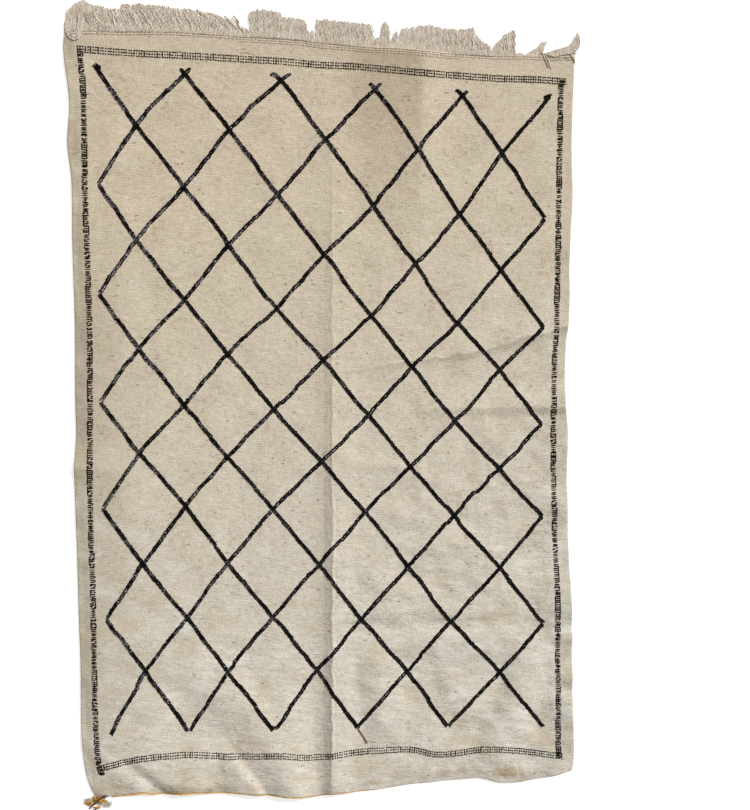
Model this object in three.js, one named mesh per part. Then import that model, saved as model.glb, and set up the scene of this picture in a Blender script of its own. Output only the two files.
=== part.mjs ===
// A hand-woven wool kilim, laid out flat.
// Millimetres, +Z up. X runs across the weave and Y along the warp, from the hem to the fringe.
// The origin is at the middle of the rug, on the surface that it lies on.
import * as THREE from "three";

// ---------------------------------------------------------------- driving dimensions

const CLOTH_THICK = 4; // handspun wool, woven flat
const FRINGE_THICK = 4; // one warp end thick
const PIECE_GAP = 0.3; // between two pieces that touch
const CELLS_ACROSS = 30; // facets of the cloth from selvedge to selvedge
const CELLS_ALONG = 46; // facets of the cloth from the hem to the header

// Where the two selvedges lie, by the share of the way from the hem to the header.
const SELVEDGES = [
  { at: 0.0, left: -571, right: 608 },
  { at: 0.01, left: -580, right: 612 },
  { at: 0.03, left: -591, right: 613 },
  { at: 0.06, left: -598, right: 610 },
  { at: 0.1, left: -601, right: 605 },
  { at: 0.18, left: -600, right: 602 },
  { at: 0.25, left: -602, right: 597 },
  { at: 0.32, left: -603, right: 589 },
  { at: 0.39, left: -605, right: 582 },
  { at: 0.44, left: -606, right: 580 },
  { at: 0.49, left: -600, right: 581 },
  { at: 0.53, left: -601, right: 573 },
  { at: 0.6, left: -599, right: 572 },
  { at: 0.67, left: -599, right: 579 },
  { at: 0.74, left: -601, right: 577 },
  { at: 0.81, left: -600, right: 582 },
  { at: 0.86, left: -608, right: 578 },
  { at: 0.91, left: -602, right: 577 },
  { at: 0.975, left: -613, right: 579 },
  { at: 1.0, left: -609, right: 581 },
];

// Where the hem and the header lie, by the share of the way from the left selvedge to the right one.
const ENDS = [
  { at: 0.0, hem: -919, header: 894 },
  { at: 0.02, hem: -922, header: 894 },
  { at: 0.05, hem: -918, header: 894 },
  { at: 0.1, hem: -911, header: 894 },
  { at: 0.12, hem: -914, header: 895 },
  { at: 0.2, hem: -914, header: 897 },
  { at: 0.3, hem: -920, header: 893 },
  { at: 0.34, hem: -924, header: 891 },
  { at: 0.38, hem: -929, header: 890 },
  { at: 0.45, hem: -933, header: 887 },
  { at: 0.49, hem: -927, header: 882 },
  { at: 0.55, hem: -924, header: 878 },
  { at: 0.6, hem: -921, header: 874 },
  { at: 0.64, hem: -914, header: 873 },
  { at: 0.69, hem: -909, header: 869 },
  { at: 0.74, hem: -905, header: 866 },
  { at: 0.8, hem: -902, header: 864 },
  { at: 0.84, hem: -914, header: 863 },
  { at: 0.88, hem: -916, header: 864 },
  { at: 0.92, hem: -909, header: 864 },
  { at: 0.96, hem: -903, header: 864 },
  { at: 0.98, hem: -896, header: 865 },
  { at: 1.0, hem: -889, header: 866 },
];

// The creases and buckles that lift the cloth off the floor. Each is a soft ridge along a straight crest.
// from and to are the crest's ends, rise is its height at each of them, and near and far are how wide
// its two slopes are, to the left and to the right of someone who walks from one end to the other.
const RIDGES = [
  { name: "long middle fold", from: [6, 700], to: [6, -960], rise: [0, 5], near: 100, far: 50 },
  { name: "second fold", from: [213, 890], to: [215, 400], rise: [5, 0], near: 90, far: 200 },
  { name: "slanting crease", from: [34, 112], to: [330, 158], rise: [0, 0.8], near: 70, far: 40 },
  { name: "outer slanting crease", from: [330, 158], to: [620, 236], rise: [0.8, 4], near: 80, far: 35 },
  { name: "cross crease", from: [94, 24], to: [620, 31], rise: [0, 3], near: 80, far: 35 },
  { name: "lower cross crease", from: [70, -463], to: [420, -466], rise: [4, 3], near: 90, far: 40 },
  { name: "lowest cross crease", from: [40, -550], to: [470, -552], rise: [4, 4], near: 44, far: 70 },
  { name: "left cross crease", from: [-480, -119], to: [-640, -119], rise: [0, 2.5], near: 40, far: 50 },
  { name: "selvedge wave 1", from: [510, 415], to: [620, 415], rise: [0, 8], near: 60, far: 45 },
  { name: "selvedge wave 2", from: [510, 48], to: [620, 48], rise: [0, 7], near: 60, far: 30 },
  { name: "selvedge wave 3", from: [520, -88], to: [620, -88], rise: [0, 5], near: 55, far: 45 },
  { name: "selvedge wave 4", from: [490, -195], to: [620, -195], rise: [0, 8], near: 45, far: 90 },
  { name: "selvedge wave 5", from: [500, -470], to: [620, -470], rise: [0, 11], near: 120, far: 70 },
  { name: "selvedge wave 6", from: [520, -548], to: [620, -548], rise: [0, 8], near: 50, far: 26 },
  { name: "selvedge wave 7", from: [510, -645], to: [630, -645], rise: [0, 9], near: 52, far: 60 },
  { name: "selvedge wave 8", from: [500, -715], to: [630, -715], rise: [0, 10], near: 60, far: 110 },
  { name: "corner buckle", from: [-590, -780], to: [-440, -918], rise: [2, 7], near: 45, far: 55 },
  { name: "hem buckle", from: [-505, -806], to: [-368, -904], rise: [5, 12], near: 210, far: 42 },
  { name: "buckle above the hem", from: [-490, -620], to: [-425, -712], rise: [0, 5], near: 70, far: 130 },
  { name: "lower buckle", from: [-425, -712], to: [-372, -800], rise: [5, 4], near: 70, far: 130 },
  { name: "drag fold", from: [-400, -545], to: [-285, -639], rise: [0, 7], near: 100, far: 100 },
  { name: "middle drag fold", from: [-285, -639], to: [-182, -726], rise: [7, 10], near: 100, far: 125 },
  { name: "lower drag fold", from: [-182, -726], to: [-122, -842], rise: [10, 11], near: 100, far: 115 },
  { name: "hem wave", from: [-122, -842], to: [-98, -940], rise: [11, 13], near: 90, far: 78 },
  { name: "middle swell", from: [-120, -540], to: [-112, -842], rise: [1, 10], near: 85, far: 150 },
  { name: "small hem wave", from: [-262, -806], to: [-180, -926], rise: [4, 11], near: 32, far: 90 },
  { name: "shallow crease", from: [-480, -530], to: [-180, -536], rise: [0.2, 0.9], near: 60, far: 24 },
  { name: "right buckle", from: [108, -600], to: [128, -740], rise: [6, 6.5], near: 100, far: 72 },
  { name: "upper outer buckle", from: [470, -580], to: [462, -690], rise: [5, 7], near: 110, far: 50 },
  { name: "outer buckle", from: [462, -690], to: [400, -820], rise: [7, 5], near: 110, far: 50 },
  { name: "crumple 1", from: [268, -590], to: [330, -720], rise: [1, 3], near: 90, far: 40 },
  { name: "crumple 2", from: [60, -350], to: [150, -440], rise: [2.5, 4], near: 110, far: 60 },
  { name: "crumple 3", from: [270, -310], to: [420, -430], rise: [3, 5], near: 110, far: 70 },
];

// The fringe, tuft by tuft: where its roots run along the header, where its tips run, and how far the
// tips stand above the header at the tuft's left end, middle and right end.
const TUFTS = [
  { roots: [-609, -562], tips: [-604, -562], reach: [44, 66, 66] },
  { roots: [-562, -478], tips: [-562, -482], reach: [66, 56, 51] },
  { roots: [-478, -330], tips: [-482, -334], reach: [58, 60, 52] },
  { roots: [-330, -215], tips: [-338, -256], reach: [54, 54, 46] },
  { roots: [-215, -196], tips: [-242, -224], reach: [46, 48, 34] },
  { roots: [-196, -187], tips: [-206, -194], reach: [26, 20, 17] },
  { roots: [-187, -118], tips: [-191, -116], reach: [54, 64, 58] },
  { roots: [-118, -48], tips: [-116, -60], reach: [47, 48, 40] },
  { roots: [-48, -37], tips: [-48, -42], reach: [26, 22, 24] },
  { roots: [-37, 102], tips: [-37, 96], reach: [52, 54, 52] },
  { roots: [102, 113], tips: [104, 112], reach: [24, 20, 24] },
  { roots: [113, 140], tips: [119, 135], reach: [46, 60, 46] },
  { roots: [140, 155], tips: [144, 153], reach: [36, 32, 40] },
  { roots: [155, 235], tips: [164, 240], reach: [46, 58, 60] },
  { roots: [235, 341], tips: [240, 338], reach: [58, 58, 62] },
  { roots: [341, 378], tips: [341, 376], reach: [50, 36, 22] },
  { roots: [378, 437], tips: [384, 433], reach: [22, 48, 62] },
  { roots: [437, 455], tips: [440, 458], reach: [7, 7, 7] },
  { roots: [455, 499], tips: [474, 510], reach: [8, 28, 36] },
  { roots: [499, 581], tips: [532, 590], reach: [12, 26, 52] },
];
const FRINGE_FOOT = 5; // the twined roots that join the locks into one comb
const LOCK_WIDTH = 12; // four warp ends cling together in one lock
const LOCK_WAIST_SHARE = 0.84; // how much of its place a lock fills halfway up
const LOCK_TIP_SHARE = 0.55; // and at its tip
const LOCK_SWAY = { reach: 2, every: 125 }; // how far the locks lean to and fro along the header
const LOCK_UNEVEN = { reach: 3, every: 9 }; // how much the locks differ in length

// The golden yarn along the hem; from and to are shares of the hem.
const EDGE_CORD = { diameter: 3, from: 0.05, to: 0.585, steps: 72 };
const CORD_SIDES = 8;

const TASSEL_THICK = 7;
// The tassel's ragged outline, from the hem round its left side to its right side.
const TASSEL_OUTLINE = [
  [-573, -921],
  [-584, -917],
  [-595, -923],
  [-599, -933],
  [-590, -937],
  [-592, -947],
  [-580, -952],
  [-571, -947],
  [-566, -958],
  [-552, -955],
  [-548, -946],
  [-538, -948],
  [-533, -938],
  [-541, -931],
  [-528, -927],
];
const TASSEL_SEAM = 0.035; // share of the hem that the tassel is sewn to
const TASSEL_CLEAR = 0.8; // between the tassel and the hem's curve

// The two loose ends, each as the points of its route from where it leaves the cloth.
const LOOSE_END_STEPS = 14;
const ABOVE_ALL = 100; // a height that nothing reaches
const SEAT_RAYS = 8; // how many places round a point its seat is felt at
const TIE_YARN = {
  diameter: 4,
  route: [
    [-542, -918],
    [-549, -918],
    [-555, -921],
    [-563, -928],
    [-569, -934],
    [-578, -940],
    [-584, -948],
  ],
};
const THREAD_END = {
  diameter: 2.4,
  route: [
    [67, -761],
    [71, -770],
    [77, -779],
    [84, -790],
    [91, -803],
  ],
};

// ---------------------------------------------------------------- the cloth's shape

const lerp = THREE.MathUtils.lerp;

// A smooth curve through one column of a table, read at a share t of the way along it.
function readColumn(table, column, t) {
  let i = 0;
  while (i < table.length - 2 && t > table[i + 1].at) i++;
  const slope = (k) => {
    const a = table[Math.max(k - 1, 0)];
    const b = table[Math.min(k + 1, table.length - 1)];
    return (b[column] - a[column]) / (b.at - a.at);
  };
  const [a, b] = [table[i], table[i + 1]];
  const step = b.at - a.at;
  const s = (t - a.at) / step;
  const keepA = (1 + 2 * s) * (1 - s) * (1 - s);
  const keepB = s * s * (3 - 2 * s);
  const pullA = s * (1 - s) * (1 - s) * step * slope(i);
  const pullB = s * s * (s - 1) * step * slope(i + 1);
  return keepA * a[column] + keepB * b[column] + pullA + pullB;
}

// The hem and the header each run between the ends of the two selvedges.
const HEM_SIDES = SELVEDGES[0];
const HEADER_SIDES = SELVEDGES[SELVEDGES.length - 1];
const hemPoint = (u) => [lerp(HEM_SIDES.left, HEM_SIDES.right, u), readColumn(ENDS, "hem", u)];
const headerPoint = (u) => [lerp(HEADER_SIDES.left, HEADER_SIDES.right, u), readColumn(ENDS, "header", u)];

// The place of a point of the cloth on the floor, u of the way across and v of the way up, between its
// four edges.
function clothPoint(u, v) {
  const x = lerp(readColumn(SELVEDGES, "left", v), readColumn(SELVEDGES, "right", v), u);
  const y = lerp(readColumn(ENDS, "hem", u), readColumn(ENDS, "header", u), v);
  return [x, y];
}

// How far the creases and buckles lift the cloth at a place on the floor.
function liftAt([x, y]) {
  let lift = 0;
  for (const ridge of RIDGES) {
    const along = [ridge.to[0] - ridge.from[0], ridge.to[1] - ridge.from[1]];
    const length = Math.hypot(...along);
    const away = [x - ridge.from[0], y - ridge.from[1]];
    const t = (away[0] * along[0] + away[1] * along[1]) / length ** 2;
    const off = (along[0] * away[1] - along[1] * away[0]) / length;
    const reach = off > 0 ? ridge.near : ridge.far;
    const past = Math.max(-t, t - 1, 0) * length;
    const endReach = (ridge.near + ridge.far) / 2;
    const distance = Math.hypot(off / reach, past / endReach);
    if (distance >= 1) continue;
    const rise = lerp(ridge.rise[0], ridge.rise[1], THREE.MathUtils.clamp(t, 0, 1));
    lift = Math.max(lift, rise * 0.5 * (1 + Math.cos(Math.PI * distance)));
  }
  return lift;
}

// ---------------------------------------------------------------- pieces

function fabric(color, roughness) {
  return new THREE.MeshStandardMaterial({ color, roughness, metalness: 0 });
}

function wovenCloth() {
  const columns = CELLS_ACROSS + 1;
  const rows = CELLS_ALONG + 1;
  const places = [];
  for (const bottom of [true, false]) {
    for (let j = 0; j < rows; j++) {
      for (let i = 0; i < columns; i++) {
        const place = clothPoint(i / CELLS_ACROSS, j / CELLS_ALONG);
        places.push(...place, liftAt(place) + (bottom ? 0 : CLOTH_THICK));
      }
    }
  }
  const under = (i, j) => j * columns + i;
  const over = (i, j) => rows * columns + under(i, j);
  const faces = [];
  const quad = (a, b, c, d) => faces.push(a, b, c, a, c, d);
  for (let j = 0; j < CELLS_ALONG; j++) {
    for (let i = 0; i < CELLS_ACROSS; i++) {
      quad(over(i, j), over(i + 1, j), over(i + 1, j + 1), over(i, j + 1));
      quad(under(i, j), under(i, j + 1), under(i + 1, j + 1), under(i + 1, j));
    }
  }
  for (let i = 0; i < CELLS_ACROSS; i++) {
    const last = CELLS_ALONG;
    quad(under(i, 0), under(i + 1, 0), over(i + 1, 0), over(i, 0));
    quad(under(i + 1, last), under(i, last), over(i, last), over(i + 1, last));
  }
  for (let j = 0; j < CELLS_ALONG; j++) {
    quad(under(0, j + 1), under(0, j), over(0, j), over(0, j + 1));
    const last = CELLS_ACROSS;
    quad(under(last, j), under(last, j + 1), over(last, j + 1), over(last, j));
  }
  const geometry = new THREE.BufferGeometry();
  geometry.setAttribute("position", new THREE.Float32BufferAttribute(places, 3));
  geometry.setIndex(faces);
  geometry.computeVertexNormals();
  return new THREE.Mesh(geometry, fabric(0xc4b8a4, 0.95));
}

// The share of the header at which the warp leaves it at x.
const shareOfHeader = (x) => (x - HEADER_SIDES.left) / (HEADER_SIDES.right - HEADER_SIDES.left);
const headerAt = (x) => headerPoint(THREE.MathUtils.clamp(shareOfHeader(x), 0, 1))[1];

const wave = ({ reach, every }, x) => reach * Math.sin((2 * Math.PI * x) / every);

// One lock's outline, from its root on the left to its tip and down to its waist on the right.
function lockOutline(tuft, index, count) {
  const share = (index + 0.5) / count;
  const rootWidth = (tuft.roots[1] - tuft.roots[0]) / count;
  const tipPitch = (tuft.tips[1] - tuft.tips[0]) / count;
  const waistHalf = (LOCK_WAIST_SHARE * (rootWidth + tipPitch)) / 4;
  const tipHalf = (LOCK_TIP_SHARE * tipPitch) / 2;
  const root = lerp(tuft.roots[0], tuft.roots[1], share);
  const tip = lerp(tuft.tips[0], tuft.tips[1], share);
  const waist = lerp(root, tip, 0.5) + wave(LOCK_SWAY, root);
  const [start, middle, end] = tuft.reach;
  const arch = 4 * share * (1 - share) * (middle - (start + end) / 2);
  const header = headerAt(root);
  const foot = header + FRINGE_FOOT;
  const top = header + lerp(start, end, share) + arch + wave(LOCK_UNEVEN, root);
  const halfway = lerp(foot, top, 0.5);
  return [
    [root - rootWidth / 2, foot],
    [waist - waistHalf, halfway],
    [tip - tipHalf, top],
    [tip + tipHalf, top],
    [waist + waistHalf, halfway],
  ];
}

function fringe() {
  const outline = [];
  for (let i = 0; i <= CELLS_ACROSS; i++) {
    const [x, y] = headerPoint(i / CELLS_ACROSS);
    outline.unshift([x, y + PIECE_GAP]);
  }
  for (const tuft of TUFTS) {
    const count = Math.max(1, Math.round((tuft.roots[1] - tuft.roots[0]) / LOCK_WIDTH));
    for (let index = 0; index < count; index++) outline.push(...lockOutline(tuft, index, count));
  }
  const end = HEADER_SIDES.right;
  outline.push([end, headerAt(end) + FRINGE_FOOT]);
  const shape = new THREE.Shape(outline.map(([x, y]) => new THREE.Vector2(x, y)));
  const geometry = new THREE.ExtrudeGeometry(shape, { depth: FRINGE_THICK, bevelEnabled: false });
  return new THREE.Mesh(geometry, fabric(0xc0b4a3, 0.95));
}

// A line of points as a curve that runs straight from each one to the next.
class Polyline extends THREE.Curve {
  constructor(points) {
    super();
    this.points = points;
  }
  getPoint(t) {
    const place = t * (this.points.length - 1);
    const i = Math.min(Math.floor(place), this.points.length - 2);
    return new THREE.Vector3().lerpVectors(this.points[i], this.points[i + 1], place - i);
  }
}

function cord(path, { diameter, steps }) {
  const corners = [];
  for (let k = 0; k < CORD_SIDES; k++) {
    const angle = (2 * Math.PI * k) / CORD_SIDES;
    corners.push(new THREE.Vector2(Math.cos(angle), Math.sin(angle)).multiplyScalar(diameter / 2));
  }
  const section = new THREE.Shape(corners);
  return new THREE.ExtrudeGeometry(section, { steps, extrudePath: path, bevelEnabled: false });
}

// The golden yarn along the hem, sewn to the middle of the cloth's thickness.
function edgeCord() {
  const clear = EDGE_CORD.diameter / 2 + PIECE_GAP;
  const stations = [];
  for (let i = 0; i <= CELLS_ACROSS; i++) {
    const u = i / CELLS_ACROSS;
    if (u < EDGE_CORD.from || u > EDGE_CORD.to) continue;
    const place = hemPoint(u);
    stations.push(new THREE.Vector3(place[0], place[1] - clear, liftAt(place) + CLOTH_THICK / 2));
  }
  return new THREE.Mesh(cord(new Polyline(stations), EDGE_CORD), fabric(0xa8762e, 0.9));
}

function cornerTassel() {
  const seam = hemPoint(TASSEL_SEAM);
  const outline = [[seam[0], seam[1] - TASSEL_CLEAR], ...TASSEL_OUTLINE];
  const shape = new THREE.Shape(outline.map(([x, y]) => new THREE.Vector2(x, y)));
  const geometry = new THREE.ExtrudeGeometry(shape, { depth: TASSEL_THICK, bevelEnabled: false });
  return new THREE.Mesh(geometry, fabric(0xb08a48, 0.95));
}

// The highest point of what lies under a place, or under the ring of the given radius round it.
function highestUnder(supports, [x, y], radius) {
  const places = [[x, y]];
  for (let k = 0; k < SEAT_RAYS; k++) {
    const angle = (2 * Math.PI * k) / SEAT_RAYS;
    places.push([x + radius * Math.cos(angle), y + radius * Math.sin(angle)]);
  }
  const down = new THREE.Vector3(0, 0, -1);
  const heights = places.map((place) => {
    const hits = new THREE.Raycaster(new THREE.Vector3(...place, ABOVE_ALL), down).intersectObjects(supports);
    return hits.length ? hits[0].point.z : 0;
  });
  return Math.max(...heights);
}

// A loose end of yarn that lies on the pieces under it.
function looseEnd({ diameter, route }, supports) {
  const points = route.map((place) => {
    const seat = highestUnder(supports, place, diameter);
    return new THREE.Vector3(...place, seat + PIECE_GAP + diameter / 2);
  });
  return cord(new THREE.CatmullRomCurve3(points), { diameter, steps: LOOSE_END_STEPS });
}

// ---------------------------------------------------------------- the whole

const cloth = wovenCloth();
const tassel = cornerTassel();
const pieces = {
  woven_cloth: cloth,
  fringe: fringe(),
  edge_cord: edgeCord(),
  corner_tassel: tassel,
  tie_yarn: new THREE.Mesh(looseEnd(TIE_YARN, [cloth, tassel]), fabric(0x1d1a1b, 0.9)),
  thread_end: new THREE.Mesh(looseEnd(THREAD_END, [cloth]), fabric(0x7a2a26, 0.9)),
};
const kilim = new THREE.Group();
for (const [name, mesh] of Object.entries(pieces)) {
  mesh.name = name;
  kilim.add(mesh);
}

export default kilim;
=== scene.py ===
"""A hand-woven wool kilim laid out flat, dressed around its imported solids.

The tables are in millimetres, in the rug's own frame: X across the weave, Y along the warp from the
hem to the fringe, Z up, with the origin at the middle of the rug on the floor.
"""

import math

import bmesh
import bpy
import numpy as np
from mathutils import Euler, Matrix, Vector


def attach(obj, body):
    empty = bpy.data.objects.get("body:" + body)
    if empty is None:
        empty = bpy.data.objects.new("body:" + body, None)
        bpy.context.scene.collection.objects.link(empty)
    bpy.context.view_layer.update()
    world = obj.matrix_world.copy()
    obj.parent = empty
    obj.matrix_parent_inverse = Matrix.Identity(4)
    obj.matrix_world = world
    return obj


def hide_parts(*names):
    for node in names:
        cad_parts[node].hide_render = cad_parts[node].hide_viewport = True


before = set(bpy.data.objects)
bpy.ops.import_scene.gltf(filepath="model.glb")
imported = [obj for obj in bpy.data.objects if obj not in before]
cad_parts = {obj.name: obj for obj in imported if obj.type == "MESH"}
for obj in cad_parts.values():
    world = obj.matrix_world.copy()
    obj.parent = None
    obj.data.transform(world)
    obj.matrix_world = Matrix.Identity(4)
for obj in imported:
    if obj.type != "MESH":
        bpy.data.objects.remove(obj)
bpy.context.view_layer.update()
MM = 0.001

# ---------------------------------------------------------------- the rug's sizes and tables

CLOTH_THICK = 4.0
CLOTH_SIZE = (1190.0, 1800.0)  # as it came off the loom
WARP_PITCH = 5.0
PICK_PITCH = 2.2
PIECE_GAP = 0.3

CLOTH_STEPS = (178, 250)  # the facets across and along
FINE_ACROSS = (605, 816)  # where they are closer, for the sharp folds, from the left selvedge
FINE_ALONG = (403, 435, 950)  # the same from the hem
RIM = {"inset": (0.0, 1.2, 3.0), "thick": (0.45, 0.85, 1.0)}  # how the cloth thins at its edges

# Where the selvedges lie, by the share of the way from the hem to the header.
SELVEDGES = {
    "at": (0, 0.01, 0.03, 0.06, 0.1, 0.18, 0.25, 0.32, 0.39, 0.44,
           0.49, 0.53, 0.6, 0.67, 0.74, 0.81, 0.86, 0.91, 0.975, 1),
    "left": (-571, -580, -591, -598, -601, -600, -602, -603, -605, -606,
             -600, -601, -599, -599, -601, -600, -608, -602, -613, -609),
    "right": (608, 612, 613, 610, 605, 602, 597, 589, 582, 580,
              581, 573, 572, 579, 577, 582, 578, 577, 579, 581),
}
# Where the hem and the header lie, by the share of the way from the left selvedge to the right one.
ENDS = {
    "at": (0, 0.02, 0.05, 0.1, 0.12, 0.2, 0.3, 0.34, 0.38, 0.45, 0.49, 0.55,
           0.6, 0.64, 0.69, 0.74, 0.8, 0.84, 0.88, 0.92, 0.96, 0.98, 1),
    "hem": (-919, -922, -918, -911, -914, -914, -920, -924, -929, -933, -927, -924,
            -921, -914, -909, -905, -902, -914, -916, -909, -903, -896, -889),
    "header": (894, 894, 894, 894, 895, 897, 893, 891, 890, 887, 882, 878,
               874, 873, 869, 866, 864, 863, 864, 864, 864, 865, 866),
}
# Creases and buckles: each crest's two ends, its rise at them, and how wide its slopes are to the left
# and to the right of someone who walks from the first end to the second.
RIDGES = (
    # from x, y    to x, y     rises   left, right
    (6, 700, 6, -960, 0, 5, 100, 50),
    (213, 890, 215, 400, 5, 0, 90, 200),
    (34, 112, 330, 158, 0, 0.8, 70, 40),
    (330, 158, 620, 236, 0.8, 4, 80, 35),
    (94, 24, 620, 31, 0, 3, 80, 35),
    (70, -463, 420, -466, 4, 3, 90, 40),
    (40, -550, 470, -552, 4, 4, 44, 70),
    (-480, -119, -640, -119, 0, 2.5, 40, 50),
    (510, 415, 620, 415, 0, 8, 60, 45),
    (510, 48, 620, 48, 0, 7, 60, 30),
    (520, -88, 620, -88, 0, 5, 55, 45),
    (490, -195, 620, -195, 0, 8, 45, 90),
    (500, -470, 620, -470, 0, 11, 120, 70),
    (520, -548, 620, -548, 0, 8, 50, 26),
    (510, -645, 630, -645, 0, 9, 52, 60),
    (500, -715, 630, -715, 0, 10, 60, 110),
    (-590, -780, -440, -918, 2, 7, 45, 55),
    (-505, -806, -368, -904, 5, 12, 210, 42),
    (-490, -620, -425, -712, 0, 5, 70, 130),
    (-425, -712, -372, -800, 5, 4, 70, 130),
    (-400, -545, -285, -639, 0, 7, 100, 100),
    (-285, -639, -182, -726, 7, 10, 100, 125),
    (-182, -726, -122, -842, 10, 11, 100, 115),
    (-122, -842, -98, -940, 11, 13, 90, 78),
    (-120, -540, -112, -842, 1, 10, 85, 150),
    (-262, -806, -180, -926, 4, 11, 32, 90),
    (-480, -530, -180, -536, 0.2, 0.9, 60, 24),
    (108, -600, 128, -740, 6, 6.5, 100, 72),
    (470, -580, 462, -690, 5, 7, 110, 50),
    (462, -690, 400, -820, 7, 5, 110, 50),
    (268, -590, 330, -720, 1, 3, 90, 40),
    (60, -350, 150, -440, 2.5, 4, 110, 60),
    (270, -310, 420, -430, 3, 5, 110, 70),
)
# Fine folds, sharp along their crest, that come on top of the ridges.
FOLD_LINES = (
    # from x, y    to x, y     rises   left, right
    (3, 620, 5, -960, 0.7, 5.5, 60, 20),
    (213, 890, 214, 380, 1.3, 0.5, 40, 190),
    (10, 110, 330, 158, 0.8, 3.2, 60, 12),
    (330, 158, 625, 240, 3.2, 5.4, 60, 16),
    (225, 24, 620, 31, 1.4, 4.6, 60, 19),
    (30, -488, 380, -490, 1.0, 1.4, 30, 15),
    (-640, -119, -500, -119, 3.0, 0, 40, 14),
    (50, -112, 210, -118, 1.2, 1.2, 16, 40),
)
# Thin creases pressed into the weave: each line's two ends, its rise at them (below zero it is a groove)
# and how wide its slopes are.
PRESSED_LINES = (
    # from x, y  to x, y     rises       width
    (12, 110, 330, 158, 0.3, 0.8, 7),
    (330, 158, 625, 240, 0.8, 1.2, 8),
    (3, 620, 5, -940, 0.4, 1.0, 7),
    (468, -860, 474, -930, -0.5, -0.6, 9),
    (-214, 848, -176, 846, -1.2, -1.2, 6),
)
# Brown patches near the hem: the middle of each, its reach along X and Y, and its strength. Those on
# the hem's right half are old stains; those at x = 75 and from x = -523 to -330 are painted shade of the
# folds and buckles there, partly dirt.
SHADE_AND_STAIN_PATCHES = (
    (327, -880, 22, 14, 0.6), (440, -888, 46, 18, 0.7), (110, -905, 30, 10, 0.5),
    (170, -888, 40, 16, 0.4), (278, -888, 36, 16, 0.5), (-425, -905, 28, 9, 0.4),
    (-330, -880, 110, 55, 0.3), (-335, -910, 130, 16, 0.45), (-523, -900, 80, 22, 0.3),
    (75, -862, 50, 75, 0.3), (455, -892, 60, 26, 0.35),
)
# the brown of the stains, also used for the painted shade
BROWN_OF_STAIN_AND_SHADE = (0.32, 0.23, 0.12, 1.0)
# The cockling all over the cloth and the short crinkles near the hem: how high, and of how many waves.
COCKLE_RISE = 0.8
COCKLE_WAVES = 26
CRUMPLE_RISE = {"elsewhere": 0.15, "hem": 0.65}
CRUMPLE_WAVES = 16

# The diamond lattice: y of each row of crossings at four even places from the left column to the right
# one, from the top row down, and x of each column of crossings at its top, middle and bottom, from the
# left column on.
LATTICE_ROWS = (
    (806, 794, 773, 763), (679, 673, 643, 640), (545, 535, 503, 482), (420, 406, 372, 360),
    (293, 271, 243, 223), (171, 152, 128, 115), (41, 27, 5, -14), (-82, -93, -113, -123),
    (-211, -214, -231, -241), (-355, -348, -361, -366), (-483, -481, -493, -510), (-610, -616, -622, -637),
    (-765, -761, -764, -774),
)
LATTICE_COLUMNS = (
    (-537, -541, -532), (-449, -453, -443), (-337, -347, -343), (-234, -244, -249),
    (-117, -136, -138), (-11, -20, -38), (103, 90, 66), (207, 195, 185), (309, 301, 292),
    (408, 411, 421), (514, 516, 532),
)
LINE_WIDTH = 9.6
LINE_STITCH = {"pitch": 4.3, "half_length": 4.1, "height": 1.4, "lean": 26}
EARS = ((9, 9), (24, 16), (13, 10), (15, 9))  # how far the lines run on past each upper peak, out and up
EAR_STRETCH = 13  # how far from its end an eared line reaches its full width
HOOK = (7.0, 1.5)  # how far the two upper corner ends turn inwards, and up

# The border: the middle of each end band and of each side ladder.
TOP_BAND = ((-583, 851), (-526, 848), (-444, 844), (-363, 843), (-239, 839), (-115, 835), (-31, 830),
            (53, 828), (138, 822), (223, 816), (309, 813), (395, 809), (482, 809), (556, 806))
BOTTOM_BAND = ((-561, -849), (-505, -835), (-449, -824), (-349, -818), (-236, -827), (-123, -826),
               (-49, -836), (40, -827), (121, -823), (197, -823), (262, -837), (330, -833),
               (388, -826), (448, -830), (512, -840), (584, -852))
LEFT_LADDER = ((-575, 852), (-569, 736), (-569, 509), (-565, 279), (-566, 45), (-570, -193),
               (-567, -434), (-567, -680), (-561, -829), (-553, -866))
RIGHT_LADDER = ((551, 811), (547, 763), (547, 527), (547, 288), (543, 45), (548, -201), (561, -452),
                (568, -707), (570, -800), (574, -860))

LADDER_PITCH = 5.0
LADDER_BAR = {"half_length": 6.9, "half_width": 1.7, "height": 1.2}
LADDER_HALF_BAR = {"middle": 3.9, "half_length": 3.3, "half_width": 1.9, "height": 1.2}
# The upright stitches: how far from the ladder's middle, how much of it they join, and half their width.
LADDER_POSTS = ((-5.8, 0.4, 1.4), (0.0, 0.16, 1.2), (5.8, 0.4, 1.4))
DENSE_FOOT = 42  # how far up from its lower end a ladder is worked densely
DENSE_TOP = {"left": 26, "right": 0}  # the same down from its upper end
BAND_PITCH = 5.8
BAND_ROWS = (-6.3, 0.0, 6.3)
TWINING_ROWS = ((-605, 578), (-605, 578), (-215, 300))  # where each row starts and ends
TWINING_PITCH = 4.5
TWINING_SPACING = 5.0

BAND_TONE = 0.75  # the place across a line at which the finish of the bands is read: all black
# the twining's gap stitches paint the shadow between its stitches, in brown
GAP_SHADOW_TONE = 2.0  # the same for the twining's finish: the brown of the gaps

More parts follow.
